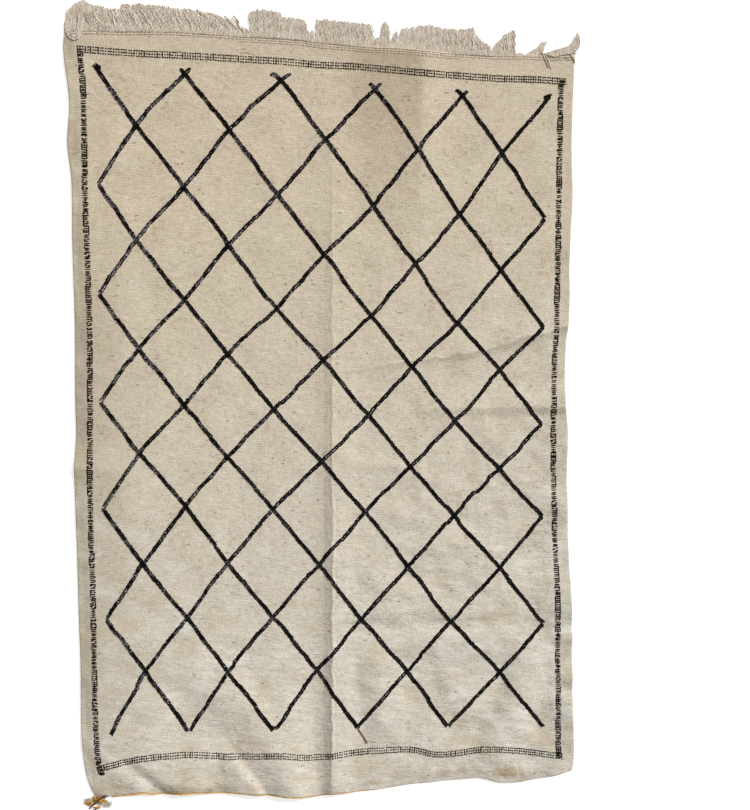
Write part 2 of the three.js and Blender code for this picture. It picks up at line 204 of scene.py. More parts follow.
# The fringe, tuft by tuft: its roots along the header, its tips, how far the tips stand above the header
# at the tuft's left end, middle and right end, and how far its inner ends lean to the right.
TUFTS = (
    # roots       tips        reach       lean
    (-609, -562, -604, -562, 44, 66, 66, 14),
    (-562, -478, -562, -482, 66, 56, 51, -10),
    (-478, -330, -482, -334, 58, 60, 52, -34),
    (-330, -215, -338, -256, 54, 54, 46, -30),
    (-215, -204, -248, -230, 46, 44, 36, -8),
    (-204, -196, -229, -222, 36, 50, 34, 0),
    (-196, -187, -210, -194, 26, 20, 17, -4),
    (-187, -118, -191, -116, 54, 64, 58, -4),
    (-118, -48, -116, -60, 47, 48, 40, 10),
    (-48, -37, -48, -42, 26, 22, 24, 0),
    (-37, 102, -37, 96, 52, 54, 52, 0),
    (102, 113, 104, 112, 24, 20, 24, 0),
    (113, 140, 119, 135, 46, 60, 46, 0),
    (140, 155, 144, 153, 36, 32, 40, 8),
    (155, 235, 164, 240, 46, 58, 60, 22),
    (235, 341, 240, 338, 58, 58, 62, 0),
    (341, 378, 341, 376, 50, 36, 22, -6),
    (378, 437, 384, 433, 22, 48, 62, 4),
    (437, 455, 440, 458, 7, 5, 7, 0),
    (455, 499, 474, 510, 8, 28, 36, 12),
    (499, 577, 506, 582, 6, 7, 8, 10),
)
# Warp ends that have fallen across: how many lie side by side, and the routes of the first and the last.
FALLEN_ENDS = (
    (10, ((497, 867), (524, 875), (545, 883), (566, 891), (579, 905), (585, 924)),
     ((524, 863), (545, 867), (566, 872), (583, 879), (590, 893), (588, 914))),
    (6, ((-606, 912), (-606, 892), (-597, 874), (-578, 874), (-570, 895), (-566, 940)),
     ((-600, 912), (-599, 894), (-594, 885), (-585, 886), (-580, 898), (-578, 938))),
    (2, ((499, 873), (507, 857), (515, 838)), ((504, 871), (514, 856), (523, 836))),
    (1, ((566, 872), (575, 861), (580, 850)), ()),
    (7, ((-564, 936), (-556, 914), (-540, 899), (-519, 893)),
     ((-546, 936), (-536, 919), (-522, 907), (-506, 901))),
)
WARP_END = 3.7  # thickness of one end of the fringe
ROOT_HEIGHT = CLOTH_THICK + 0.6  # the height of an end's middle where it leaves the header
FRINGE_HEIGHT = 2.4  # and farther out
LEAST_HEIGHT = 1.9  # the lowest that it comes to the floor
FRINGE_TOP = 4.0  # what the ends lie on that have fallen across the fringe
FRINGE_PITCH = 2.2
FRINGE_STEPS = 15
FRINGE_SIDES = 6
UNDER_ENDS = 0.5  # how many more ends lie under a tuft, as a share of its own
STRAY_ENDS = 0.14  # how many stray over it
HAIRS_PER_END = 4
HAIR_RADII = (0.36, 0.3, 0.2, 0.08)

# The golden yarn along the hem: how thick it is, by the share of the hem.
EDGE_CORD = {
    "at": (0.035, 0.06, 0.1, 0.13, 0.17, 0.22, 0.3, 0.45, 0.56, 0.585),
    "thick": (3.4, 4.2, 4.4, 3.6, 4.2, 3.2, 3.0, 2.8, 2.2, 1.6),
}
EDGE_CORD_STEPS = 400

# The two loose ends, from where they leave the cloth.
TIE_YARN = ((-542, -918), (-549, -918), (-555, -921), (-563, -928), (-569, -934), (-578, -940),
            (-584, -948))
TIE_YARN_THICK = 4.0
THREAD_END = ((67, -761), (71, -770), (77, -779), (84, -790), (91, -803))
THREAD_END_THICK = 2.4
LOOSE_END_STEPS = 24

# The tuft at the corner: how many strands start near each place, the lowest and the highest heading in
# degrees, the shortest and the longest strand, and their radius.
TASSEL_THICK = 7.0
TASSEL_STRANDS = (
    # count, middle      headings    lengths  radius
    (100, (-561, -927), (110, 400), (5, 20), 1.3),
    (34, (-586, -936), (0, 360), (4, 12), 1.1),
    (22, (-568, -946), (200, 340), (4, 12), 1.1),
)
TASSEL_FUZZ = (
    (150, (-546, -937), (180, 380), (6, 20), 0.34),
    (110, (-586, -930), (60, 300), (5, 15), 0.34),
)
PLIES = 1 / 7.0  # turns of the golden yarn to a millimetre

# ---------------------------------------------------------------- the cloth's shape


def read_column(table, name, share):
    """A smooth curve through one column of a table, read at the given shares of the way along it."""
    at = np.array(table["at"], float)
    values = np.array(table[name], float)
    last = len(at) - 1
    after = np.minimum(np.arange(last + 1) + 1, last)
    before = np.maximum(np.arange(last + 1) - 1, 0)
    slopes = (values[after] - values[before]) / (at[after] - at[before])
    share = np.asarray(share, float)
    i = np.clip(np.searchsorted(at, share, side="right") - 1, 0, last - 1)
    step = at[i + 1] - at[i]
    s = (share - at[i]) / step
    keep_a = (1 + 2 * s) * (1 - s) ** 2
    keep_b = s * s * (3 - 2 * s)
    pull_a = s * (1 - s) ** 2 * step * slopes[i]
    pull_b = s * s * (s - 1) * step * slopes[i + 1]
    return keep_a * values[i] + keep_b * values[i + 1] + pull_a + pull_b


def between(a, b, share):
    return a + (b - a) * share


def header_at(x):
    """y of the header above x."""
    left, right = SELVEDGES["left"][-1], SELVEDGES["right"][-1]
    return read_column(ENDS, "header", np.clip((x - left) / (right - left), 0, 1))


def hem_at(x):
    """y of the hem below x."""
    left, right = SELVEDGES["left"][0], SELVEDGES["right"][0]
    return read_column(ENDS, "hem", np.clip((x - left) / (right - left), 0, 1))


def cloth_place(u, v):
    """Where the point u of the way across and v of the way up lies on the floor, between the four edges."""
    x = between(read_column(SELVEDGES, "left", v), read_column(SELVEDGES, "right", v), u)
    y = between(read_column(ENDS, "hem", u), read_column(ENDS, "header", u), v)
    return x, y


def ridge_reach(row, x, y):
    """The rise of a ridge's crest beside each point, and the point's distance from the crest as a share
    of the slope on its side."""
    from_x, from_y, to_x, to_y, rise_from, rise_to, left, right = row
    along_x, along_y = to_x - from_x, to_y - from_y
    length = math.hypot(along_x, along_y)
    t = ((x - from_x) * along_x + (y - from_y) * along_y) / length ** 2
    off = (along_x * (y - from_y) - along_y * (x - from_x)) / length
    past_end = np.maximum(np.maximum(-t, t - 1), 0) * length
    distance = np.hypot(off / np.where(off > 0, left, right), past_end / ((left + right) / 2))
    return between(rise_from, rise_to, np.clip(t, 0, 1)), distance


def lift_at(x, y):
    """How far the creases and buckles lift the cloth."""
    lift = np.zeros(np.broadcast(x, y).shape)
    for row in RIDGES:
        rise, distance = ridge_reach(row, x, y)
        ridge = rise * 0.5 * (1 + np.cos(np.pi * np.minimum(distance, 1)))
        lift = np.maximum(lift, ridge)
    return lift


def fold_at(x, y):
    """How far the fine folds lift the cloth: straight slopes that meet in a sharp crest."""
    lift = np.zeros(np.broadcast(x, y).shape)
    for row in FOLD_LINES:
        rise, distance = ridge_reach(row, x, y)
        lift = lift + rise * np.maximum(1 - distance, 0)
    return lift


def cockle_at(x, y):
    """The small unevenness of a hand-woven cloth: many shallow waves in all directions."""
    rng = np.random.default_rng(5)
    total = np.zeros(np.broadcast(x, y).shape)
    for _ in range(COCKLE_WAVES):
        angle, wavelength = rng.uniform(0, math.pi), rng.uniform(35, 170)
        phase = rng.uniform(0, 2 * math.pi)
        along = x * math.cos(angle) + y * math.sin(angle)
        total = total + np.sin(2 * math.pi * along / wavelength + phase) * wavelength / 100
    return COCKLE_RISE * (0.5 + 0.5 * np.tanh(total / 3))


def smooth_step(value, low, high):
    share = np.clip((value - low) / (high - low), 0, 1)
    return share * share * (3 - 2 * share)


def crumple_at(x, y):
    """Short slanting crinkles, deepest in the quarter beside the hem's right half."""
    rng = np.random.default_rng(17)
    total = np.zeros(np.broadcast(x, y).shape)
    for _ in range(CRUMPLE_WAVES):
        angle, wavelength = rng.normal(0.85, 0.4), rng.uniform(40, 120)
        phase = rng.uniform(0, 2 * math.pi)
        bend = 1.2 * np.sin((x * math.sin(angle) - y * math.cos(angle)) / 30 + phase * 3)
        along = x * math.cos(angle) + y * math.sin(angle)
        crest = (0.5 + 0.5 * np.sin(2 * math.pi * along / wavelength + phase + bend)) ** 1.4
        patch = np.sin(x / 45 + 5 * phase) * np.sin(y / 40 + 3 * phase)
        total = total + crest * np.maximum(patch, 0) * wavelength / 60
    deep = smooth_step(x, -20, 90) * smooth_step(-y, -60, 40)
    return total * between(CRUMPLE_RISE["elsewhere"], CRUMPLE_RISE["hem"], deep)


def rise_at(x, y):
    """The height of the cloth's underside over the floor."""
    return lift_at(x, y) + fold_at(x, y) + cockle_at(x, y) + crumple_at(x, y)


def top_at(x, y):
    """The height of the cloth's patterned face."""
    return rise_at(x, y) + CLOTH_THICK


# ---------------------------------------------------------------- making meshes


def srgb(red, green, blue):
    """A colour given as it looks, 0 to 255, in the units of a shader."""
    channels = [c / 255 for c in (red, green, blue)]
    return (*[c / 12.92 if c <= 0.04045 else ((c + 0.055) / 1.055) ** 2.4 for c in channels], 1.0)


def new_piece(name, mesh, finish):
    """A finished mesh as a piece that lies still with the rug."""
    mesh.name = name
    piece = bpy.data.objects.new(name, mesh)
    bpy.context.scene.collection.objects.link(piece)
    mesh.materials.append(finish)
    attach(piece, "root")
    return piece


def in_order(bm):
    """The points of a small bmesh, and its faces as lists of points, in the order of their places, which
    is the same on every run."""
    verts = sorted(bm.verts, key=lambda v: [round(c, 3) for c in v.co])
    rank = {v: k for k, v in enumerate(verts)}
    faces = []
    for face in bm.faces:
        ring = list(face.verts)
        first = ring.index(min(ring, key=rank.get))
        faces.append(ring[first:] + ring[:first])
    return verts, sorted(faces, key=lambda ring: [rank[v] for v in ring])


def shape_of(bm, verts, faces):
    """A small bmesh as arrays that can be copied many times: its points, its faces, and each corner's
    place round the shape's X axis and along it, both from 0 to 1."""
    rank = {v: k for k, v in enumerate(verts)}
    points = np.array([v.co for v in verts])
    low, high = points[:, 0].min(), points[:, 0].max()
    sizes, corners, uv = [], [], []
    for face in faces:
        around = [math.atan2(v.co.y, -v.co.z) / (2 * math.pi) + 0.5 for v in face]
        if max(around) - min(around) > 0.5:
            around = [a + 1 if a < 0.5 else a for a in around]
        sizes.append(len(face))
        corners += [rank[v] for v in face]
        uv += [(a, (v.co.x - low) / (high - low)) for a, v in zip(around, face)]
    bm.free()
    return {"points": points, "sizes": np.array(sizes), "corners": np.array(corners), "uv": np.array(uv)}


def joined(name, shape, points, uv, finish):
    """Many copies of one shape as a single piece: points has a row of places for each copy, uv the
    same for the corners of its faces."""
    copies, count = points.shape[:2]
    corners = (shape["corners"] + np.arange(copies)[:, None] * count).ravel()
    starts = np.concatenate(([0], np.cumsum(np.tile(shape["sizes"], copies))[:-1]))
    mesh = bpy.data.meshes.new(name)
    mesh.vertices.add(copies * count)
    mesh.vertices.foreach_set("co", (points * MM).astype(np.float32).ravel())
    mesh.loops.add(len(corners))
    mesh.loops.foreach_set("vertex_index", corners.astype(np.int32))
    mesh.polygons.add(len(starts))
    mesh.polygons.foreach_set("loop_start", starts.astype(np.int32))
    mesh.uv_layers.new(name="UVMap").data.foreach_set("uv", uv.astype(np.float32).ravel())
    mesh.update(calc_edges=True)
    mesh.shade_smooth()
    return new_piece(name, mesh, finish)


def stitch_shape():
    """A plump stitch, 2 long, 2 wide and 2 high, along X."""
    bm = bmesh.new()
    bmesh.ops.create_uvsphere(bm, u_segments=6, v_segments=4, radius=1.0)
    bmesh.ops.rotate(bm, verts=bm.verts, matrix=Euler((0, 0, math.radians(30))).to_matrix())
    bmesh.ops.rotate(bm, verts=bm.verts, matrix=Euler((0, math.radians(90), 0)).to_matrix())
    return shape_of(bm, *in_order(bm))


def rod_shape(steps, sides):
    """A straight rod of radius 1 along X from 0 to 1, in even steps."""
    bm = bmesh.new()
    bmesh.ops.create_cone(bm, cap_ends=True, segments=sides, radius1=1, radius2=1, depth=1)
    bmesh.ops.rotate(bm, verts=bm.verts, matrix=Euler((0, math.radians(90), 0)).to_matrix())
    bmesh.ops.translate(bm, verts=bm.verts, vec=(0.5, 0, 0))
    for step in range(1, steps):
        everything = [*bm.verts, *bm.edges, *bm.faces]
        bmesh.ops.bisect_plane(bm, geom=everything, plane_co=(step / steps, 0, 0), plane_no=(1, 0, 0))
    return shape_of(bm, list(bm.verts), [list(face.verts) for face in bm.faces])


def lay_stitches(name, stitches, finish):
    """Stitches lying on the cloth. Each row of the array stitches holds x, y, heading, half length,
    half width, height, and the place across and along its line that the finish reads."""
    shape = stitch_shape()
    x, y, heading, half_length, half_width, height, across, along = (c[:, None] for c in stitches.T)
    shape_x, shape_y, shape_z = (shape["points"][:, k][None, :] for k in range(3))
    side_x = shape_x * half_length
    side_y = shape_y * half_width
    place_x = x + side_x * np.cos(heading) - side_y * np.sin(heading)
    place_y = y + side_x * np.sin(heading) + side_y * np.cos(heading)
    place_z = top_at(place_x, place_y) + (shape_z + 0.25) * height
    points = np.stack((place_x, place_y, place_z), axis=2)
    uv = np.empty((len(stitches), len(shape["corners"]), 2))
    uv[:, :, 0] = across + shape["uv"][None, :, 1] * 0.5
    uv[:, :, 1] = along * MM + shape["uv"][None, :, 0] * half_width * 2 * MM
    return joined(name, shape, points, uv, finish)


def resampled(path, count):
    """A line of points as count points, evenly spaced along it."""
    path = np.asarray(path, float)
    lengths = np.concatenate(([0], np.cumsum(np.linalg.norm(np.diff(path, axis=0), axis=1))))
    wanted = np.linspace(0, lengths[-1], count)
    return np.stack([np.interp(wanted, lengths, path[:, k]) for k in range(path.shape[1])], axis=1)


def smooth_path(points, per_step=12):
    """A smooth curve through a few points."""
    points = np.asarray(points, float)
    ends = np.vstack((2 * points[0] - points[1], points, 2 * points[-1] - points[-2]))
    a, b, c, d = ends[:-3, None], ends[1:-2, None], ends[2:-1, None], ends[3:, None]
    t = np.linspace(0, 1, per_step, endpoint=False)[None, :, None]
    bend, twist = 2 * a - 5 * b + 4 * c - d, 3 * b - a - 3 * c + d
    curve = 0.5 * (2 * b + (c - a) * t + bend * t ** 2 + twist * t ** 3)
    return np.vstack((curve.reshape(-1, points.shape[1]), points[-1:]))


def lay_rods(name, shape, paths, radii, finish, plies=0.0, ply_depth=0.0, flatness=1.0):
    """Yarns as one piece. paths holds each yarn's points, one for each step of the rod, and radii its
    radius there. A plied yarn's section is an oval that turns as it goes, and flatness is how high a
    section is for its width."""
    paths = np.asarray(paths, float)
    radii = np.asarray(radii, float)
    ring = np.rint(shape["points"][:, 0] * (paths.shape[1] - 1)).astype(int)
    tangents = np.gradient(paths, axis=1)
    tangents /= np.linalg.norm(tangents, axis=2, keepdims=True)
    sides = np.cross(tangents, np.broadcast_to((0.0, 0.0, 1.0), tangents.shape))
    sides /= np.maximum(np.linalg.norm(sides, axis=2, keepdims=True), 1e-6)
    ups = np.cross(sides, tangents)
    steps = np.linalg.norm(np.diff(paths, axis=1), axis=2)
    lengths = np.concatenate((np.zeros((len(paths), 1)), np.cumsum(steps, axis=1)), axis=1)
    angle = np.arctan2(shape["points"][:, 1], shape["points"][:, 2])
    turned = angle[None, :] - math.pi * plies * lengths[:, ring]
    reach = radii[:, ring] * (1 + ply_depth * np.cos(2 * turned))
    points = paths[:, ring] + sides[:, ring] * (np.sin(angle) * reach)[:, :, None]
    points += ups[:, ring] * (np.cos(angle) * reach * flatness)[:, :, None]
    uv = np.empty((len(paths), len(shape["corners"]), 2))
    uv[:, :, 0] = shape["uv"][None, :, 0]
    start = 0.618 * np.arange(len(paths))[:, None] % 1 * 0.05
    uv[:, :, 1] = shape["uv"][None, :, 1] * lengths[:, -1:] * MM + start
    return joined(name, shape, points, uv, finish)


# ---------------------------------------------------------------- finishes


class Finish:
    """A procedural material, built up node by node."""

    def __init__(self, name, roughness, sheen=0.0):
        self.material = bpy.data.materials.new(name)
        self.material.use_nodes = True
        self.tree = self.material.node_tree
        self.shader = self.tree.nodes["Principled BSDF"]
        self.shader.inputs["Roughness"].default_value = roughness
        self.shader.inputs["Specular IOR Level"].default_value = 0.2
        self.shader.inputs["Sheen Weight"].default_value = sheen
        self.shader.inputs["Sheen Roughness"].default_value = 0.6
        self.places = self.tree.nodes.new("ShaderNodeTexCoord")

    def node(self, kind, inputs=(), **settings):
        made = self.tree.nodes.new(kind)
        for name, value in settings.items():
            setattr(made, name, value)
        for socket, value in dict(inputs).items():
            self.feed(made.inputs[socket], value)
        return made

    def feed(self, socket, value):
        if isinstance(value, bpy.types.NodeSocket):
            self.tree.links.new(value, socket)
        else:
            socket.default_value = value

    def stretched(self, source, scale, turn=0.0):
        made = self.node("ShaderNodeMapping", {"Vector": self.places.outputs[source], "Scale": scale})
        made.inputs["Rotation"].default_value[2] = turn
        return made.outputs["Vector"]

    def noise(self, source, scale, detail=2.0, roughness=0.5, turn=0.0):
        """Noise on the UV or the Object coordinates, with scale cells to a metre along each axis."""
        vector = self.stretched(source, scale, turn)
        inputs = {"Vector": vector, "Scale": 1.0, "Detail": detail, "Roughness": roughness}
        return self.node("ShaderNodeTexNoise", inputs).outputs["Fac"]

    def spots(self, scale, channel, chosen, size, core):
        """Round spots in some of the cells of a grid on the cloth: the random number of a cell in one
        channel of its colour has to be in the range chosen, or above."""
        cells = self.node("ShaderNodeTexVoronoi", {"Vector": self.stretched("UV", scale), "Scale": 1.0})
        picked = self.within(self.apart(cells.outputs["Color"])[channel], *chosen)
        return self.times(self.within(cells.outputs["Distance"], size, core), picked)

    def math(self, operation, a, b=0.0, c=0.0):
        return self.node("ShaderNodeMath", {0: a, 1: b, 2: c}, operation=operation).outputs[0]

    def times(self, a, b):
        return self.math("MULTIPLY", a, b)

    def plus(self, a, b):
        return self.math("ADD", a, b)

    def line(self, value, slope, start):
        """value times slope, plus start."""
        return self.math("MULTIPLY_ADD", value, slope, start)

    def within(self, value, low, high, to_low=0.0, to_high=1.0):
        """value brought from the range low to high into the range to_low to to_high, smoothly."""
        inputs = {"Value": value, "From Min": low, "From Max": high, "To Min": to_low, "To Max": to_high}
        made = self.node("ShaderNodeMapRange", inputs, interpolation_type="SMOOTHSTEP")
        return made.outputs["Result"]

    def mix(self, share, a, b, blend="MIX"):
        """Two colours mixed. The node keeps them in sockets 6 and 7, and the result in output 2."""
        made = self.node("ShaderNodeMix", data_type="RGBA", blend_type=blend)
        self.feed(made.inputs["Factor"], share)
        self.feed(made.inputs[6], a)
        self.feed(made.inputs[7], b)
        return made.outputs[2]

    def apart(self, vector):
        return self.node("ShaderNodeSeparateXYZ", {"Vector": vector}).outputs

    def finish(self, colour, height=None, distance=0.001, looseness=0.0):
        """The finished material. Loose fibres spread the light: looseness is how far the surface is
        lit as if it lay flat."""
        self.feed(self.shader.inputs["Base Color"], colour)
        if height is not None:
            bump = self.node("ShaderNodeBump", {"Height": height, "Distance": distance, "Strength": 1.0})
            normal = bump.outputs["Normal"]
            if looseness:
                sockets = {0: looseness, 4: normal, 5: (0, 0, 1)}
                flat = self.node("ShaderNodeMix", sockets, data_type="VECTOR").outputs[1]
                normal = self.node("ShaderNodeVectorMath", {0: flat}, operation="NORMALIZE").outputs[0]
            self.feed(self.shader.inputs["Normal"], normal)
        return self.material


CREAM = srgb(189, 182, 169)
CREAM_DARK = srgb(146, 134, 114)
CREAM_PALE = srgb(213, 209, 200)
# painted light: a warm tint of the light, strongest at the upper left
CREAM_PAINTED_WARMTH = srgb(252, 243, 228)
# painted shade of the tilted panel between the two folds near the fringe
CREAM_PANEL_SHADE = srgb(205, 196, 178)
CREAM_BROWNED = srgb(176, 161, 137)
CREAM_WASHED = srgb(206, 202, 192)
# the next two are painted shade: at the selvedges, and beside the header
CREAM_EDGE_SHADE = srgb(150, 138, 120)
CREAM_HEADER_SHADE = srgb(165, 148, 134)
CREAM_SPECK = srgb(218, 213, 204)

# The uneven yarn and the uneven wool: coordinates, cells to a metre, detail, roughness, how far from the
# middle the noise is followed, and how far it shifts the shade.
UNEVENNESS = {
    "slubs": ("UV", (55, 380, 1), 3.0, 0.65, 0.25, 0.36),
    "ribs": ("UV", (340, 60, 1), 3.0, 0.65, 0.25, 0.26),
    "fuzz": ("UV", (400, 400, 1), 3.0, 0.7, 0.2, 0.42),
    "clouds": ("UV", (70, 95, 1), 4.0, 0.6, 0.2, 0.36),
    "broad": ("Object", (9, 13, 9), 5.0, 0.6, 0.2, 0.3),
}
# Dark hair spun into the yarn: cells to a metre, the size of a fleck in its cell, and its colour.
FLECKS = (
    ((30, 60, 1), 0.14, srgb(104, 88, 70)),
    ((19, 44, 1), 0.14, srgb(140, 122, 98)),
    ((52, 130, 1), 0.2, srgb(146, 128, 102)),
)


def rolled_edges(wool, u, v):
    """How far the left selvedge and the hem roll down towards the floor, more in some places."""
    uneven = wool.within(wool.noise("UV", (9, 7, 1)), 0.35, 0.65, 0.4, 1.6)
    selvedge = wool.within(u, 0.036, 0.0, 0.0, -3.2)
    hem = wool.within(v, 0.028, 0.0, 0.0, -2.2)
    return wool.times(wool.plus(selvedge, hem), uneven)


def pressed_line(wool, x, y, stray, row):
    """The height of a thin crease pressed into the cloth, in millimetres: highest on the line itself,
    fading out at both its ends."""
    from_x, from_y, to_x, to_y, rise_from, rise_to, width = row
    along_x, along_y = to_x - from_x, to_y - from_y
    length = math.hypot(along_x, along_y)
    square = length ** 2
    share = wool.line(x, along_x / square / MM, -(from_x * along_x + from_y * along_y) / square)
    share = wool.line(y, along_y / square / MM, share)
    off = wool.line(x, -along_y / length / MM, (from_x * along_y - from_y * along_x) / length)
    off = wool.line(y, along_x / length / MM, off)
    off = wool.math("ABSOLUTE", wool.plus(off, stray))
    ends = wool.within(wool.math("ABSOLUTE", wool.math("SUBTRACT", share, 0.5)), 0.52, 0.4)
    rise = wool.within(share, 0.0, 1.0, rise_from, rise_to)
    return wool.times(wool.times(wool.within(off, width, 0.0), rise), ends)


def woven(wool, u, v):
    """The plain weave: each pick goes over and under the warps in turn."""
    bend = wool.noise("UV", (60, 25, 1))
    picks = wool.line(v, math.pi / (PICK_PITCH * MM), wool.times(bend, 9.0))
    warps = wool.line(u, math.pi / (WARP_PITCH * MM), wool.times(bend, 7.0))
    return wool.times(wool.math("SINE", picks), wool.math("SINE", warps))


def heathered(wool, over, noises):
    """The wool's own colour, from the shade of each uneven stretch of yarn."""
    shade = 0.0
    for name, (*_, reach, shift) in UNEVENNESS.items():
        shade = wool.plus(shade, wool.within(noises[name], 0.5 - reach, 0.5 + reach, -shift, shift))
    shade = wool.line(over, 0.03, shade)
    colour = wool.mix(wool.within(shade, 0.0, 1.3), CREAM, CREAM_PALE)
    return wool.mix(wool.within(shade, 0.0, -1.3), colour, CREAM_DARK)


def painted_light_and_shade(wool, u, x, y, colour):
    """Painted light and shade: a warm tint of the light, strongest towards the fringe at the upper left,
    and painted shade at the selvedges, most on the left side, and beside the header."""
    warm = wool.within(wool.line(x, -0.35, y), -1.0, 0.9)
    colour = wool.mix(warm, colour, CREAM_PAINTED_WARMTH, blend="MULTIPLY")
    rim = wool.math("ABSOLUTE", wool.math("SUBTRACT", u, CLOTH_SIZE[0] / 2 * MM))
    colour = wool.mix(wool.within(rim, 0.55, 0.595, 0, 0.16), colour, CREAM_EDGE_SHADE)
    side = wool.times(wool.within(y, 0.55, 0.2), wool.within(y, -0.86, -0.6))
    side = wool.times(side, wool.within(u, 0.17, 0.02, 0, 0.4))
    colour = wool.mix(side, colour, CREAM_EDGE_SHADE)
    return wool.mix(wool.within(y, 0.79, 0.88, 0, 0.22), colour, CREAM_HEADER_SHADE)


def painted_panel_shade(wool, x, y, colour):
    """Painted shade: the panel between the two folds near the fringe is darker and greyer, as it tilts
    away from the light.
    """
    across = wool.times(wool.within(x, 0.0, 0.1), wool.within(x, 0.226, 0.2))
    along = wool.within(y, 0.35, 0.85)
    strength = wool.times(wool.times(across, along), 0.42)
    return wool.mix(strength, colour, CREAM_PANEL_SHADE, blend="MULTIPLY")


def worn(wool, y, colour):
    """Brown and pale patches, stronger towards the hem."""
    patches = wool.noise("Object", (8, 13, 8), 5.0, 0.62)
    wear = wool.within(y, 0.3, -0.95, 0.12, 0.7)
    colour = wool.mix(wool.times(wool.within(patches, 0.5, 0.68), wear), colour, CREAM_BROWNED)
    return wool.mix(wool.times(wool.within(patches, 0.48, 0.32), wear), colour, CREAM_WASHED)


def flecked(wool, y, colour):
    """Flecks of dark hair, and pale specks where the nap has worn off, mostly towards the hem."""
    for scale, size, tone in FLECKS:
        spot = wool.spots(scale, 0, (0.62, 0.7), size, size * 0.4)
        colour = wool.mix(wool.times(spot, 0.75), colour, tone)
    speck = wool.spots((75, 110, 1), 1, (0.72, 0.8), 0.3, 0.1)
    return wool.mix(wool.times(speck, wool.within(y, 0.3, -0.8, 0.1, 0.5)), colour, CREAM_SPECK)


def browned_by_stain_and_shade(wool, x, y, colour):
    """Brown patches near the hem, soft and uneven at their edges: old stains, and painted shade, partly
    dirt, at the folds towards the hem's left end and beside the centre crease.
    """
    blur = wool.noise("Object", (60, 60, 60), 3.0)
    for at_x, at_y, reach_x, reach_y, strength in SHADE_AND_STAIN_PATCHES:
        across = wool.line(x, 1 / (reach_x * MM), -at_x / reach_x)
        along = wool.line(y, 1 / (reach_y * MM), -at_y / reach_y)
        distance = wool.math("SQRT", wool.line(along, along, wool.times(across, across)))
        distance = wool.line(blur, 1.2, distance)
        colour = wool.mix(wool.within(distance, 1.7, 0.7, 0.0, strength), colour, BROWN_OF_STAIN_AND_SHADE)
    return colour


def uneven_height(wool, over, noises, u, v, x, y):
    """The relief of the cloth's face, in millimetres: the yarn, the pressed creases, the rolled edges and
    the crumpled stretch near the right end of the hem."""
    height = wool.line(noises["slubs"], 1.0, wool.times(over, 0.12))
    height = wool.line(noises["ribs"], 0.6, height)
    height = wool.line(noises["fuzz"], 0.7, height)
    stray = wool.within(wool.noise("Object", (22, 22, 22)), 0.2, 0.8, -5.0, 5.0)
    for row in PRESSED_LINES:
        height = wool.plus(height, pressed_line(wool, x, y, stray, row))
    height = wool.plus(height, rolled_edges(wool, u, v))
    crumple = wool.noise("Object", (16, 42, 16), 4.0, 0.6, turn=math.radians(24))
    crumpled = wool.within(wool.math("SUBTRACT", wool.times(x, 0.6), y), 0.05, 0.6, 0.5, 3.4)
    return wool.line(crumple, crumpled, height)


def cream_wool():
    """Undyed handspun wool in plain weave, with dark flecks, wear and old stains, and painted light and
    shade: a warm tint, darker selvedges and header, a darker panel between the folds, and brown shade,
    partly dirt, at the folds beside the hem.
    """
    wool = Finish("cream_wool", roughness=0.95, sheen=0.1)
    u, v, _ = wool.apart(wool.places.outputs["UV"])
    x, y, _ = wool.apart(wool.places.outputs["Object"])
    over = woven(wool, u, v)
    noises = {name: wool.noise(*row[:4]) for name, row in UNEVENNESS.items()}
    colour = heathered(wool, over, noises)
    colour = painted_light_and_shade(wool, u, x, y, colour)
    colour = painted_panel_shade(wool, x, y, colour)
    colour = worn(wool, y, colour)
    colour = flecked(wool, y, colour)
    colour = browned_by_stain_and_shade(wool, x, y, colour)
    return wool.finish(colour, uneven_height(wool, over, noises, u, v, x, y), distance=MM)


def fringe_wool(name, dark, pale, looseness):
    """Loose warp yarn, its plies showing as slanting grooves."""
    wool = Finish(name, roughness=1.0)
    u, v, _ = wool.apart(wool.places.outputs["UV"])
    turns = wool.line(v, 2 * math.pi / 0.009, wool.times(u, 4 * math.pi))
    plies = wool.math("SINE", turns)
    tone = wool.noise("Object", (160, 60, 60), 3.0)
    hairs = wool.noise("Object", (500, 500, 500))
    shade = wool.plus(tone, wool.times(plies, 0.06))
    shade = wool.line(hairs, 0.25, shade)
    colour = wool.mix(wool.within(shade, 0.3, 0.95), dark, pale)
    # the brown of the twining's gap stitches: painted shadow between the stitches
    colour = wool.mix(wool.math("GREATER_THAN", u, GAP_SHADOW_TONE - 0.1), colour, srgb(120, 98, 74))
    height = wool.line(hairs, 0.4, plies)
    return wool.finish(colour, height, distance=0.4 * MM, looseness=looseness)


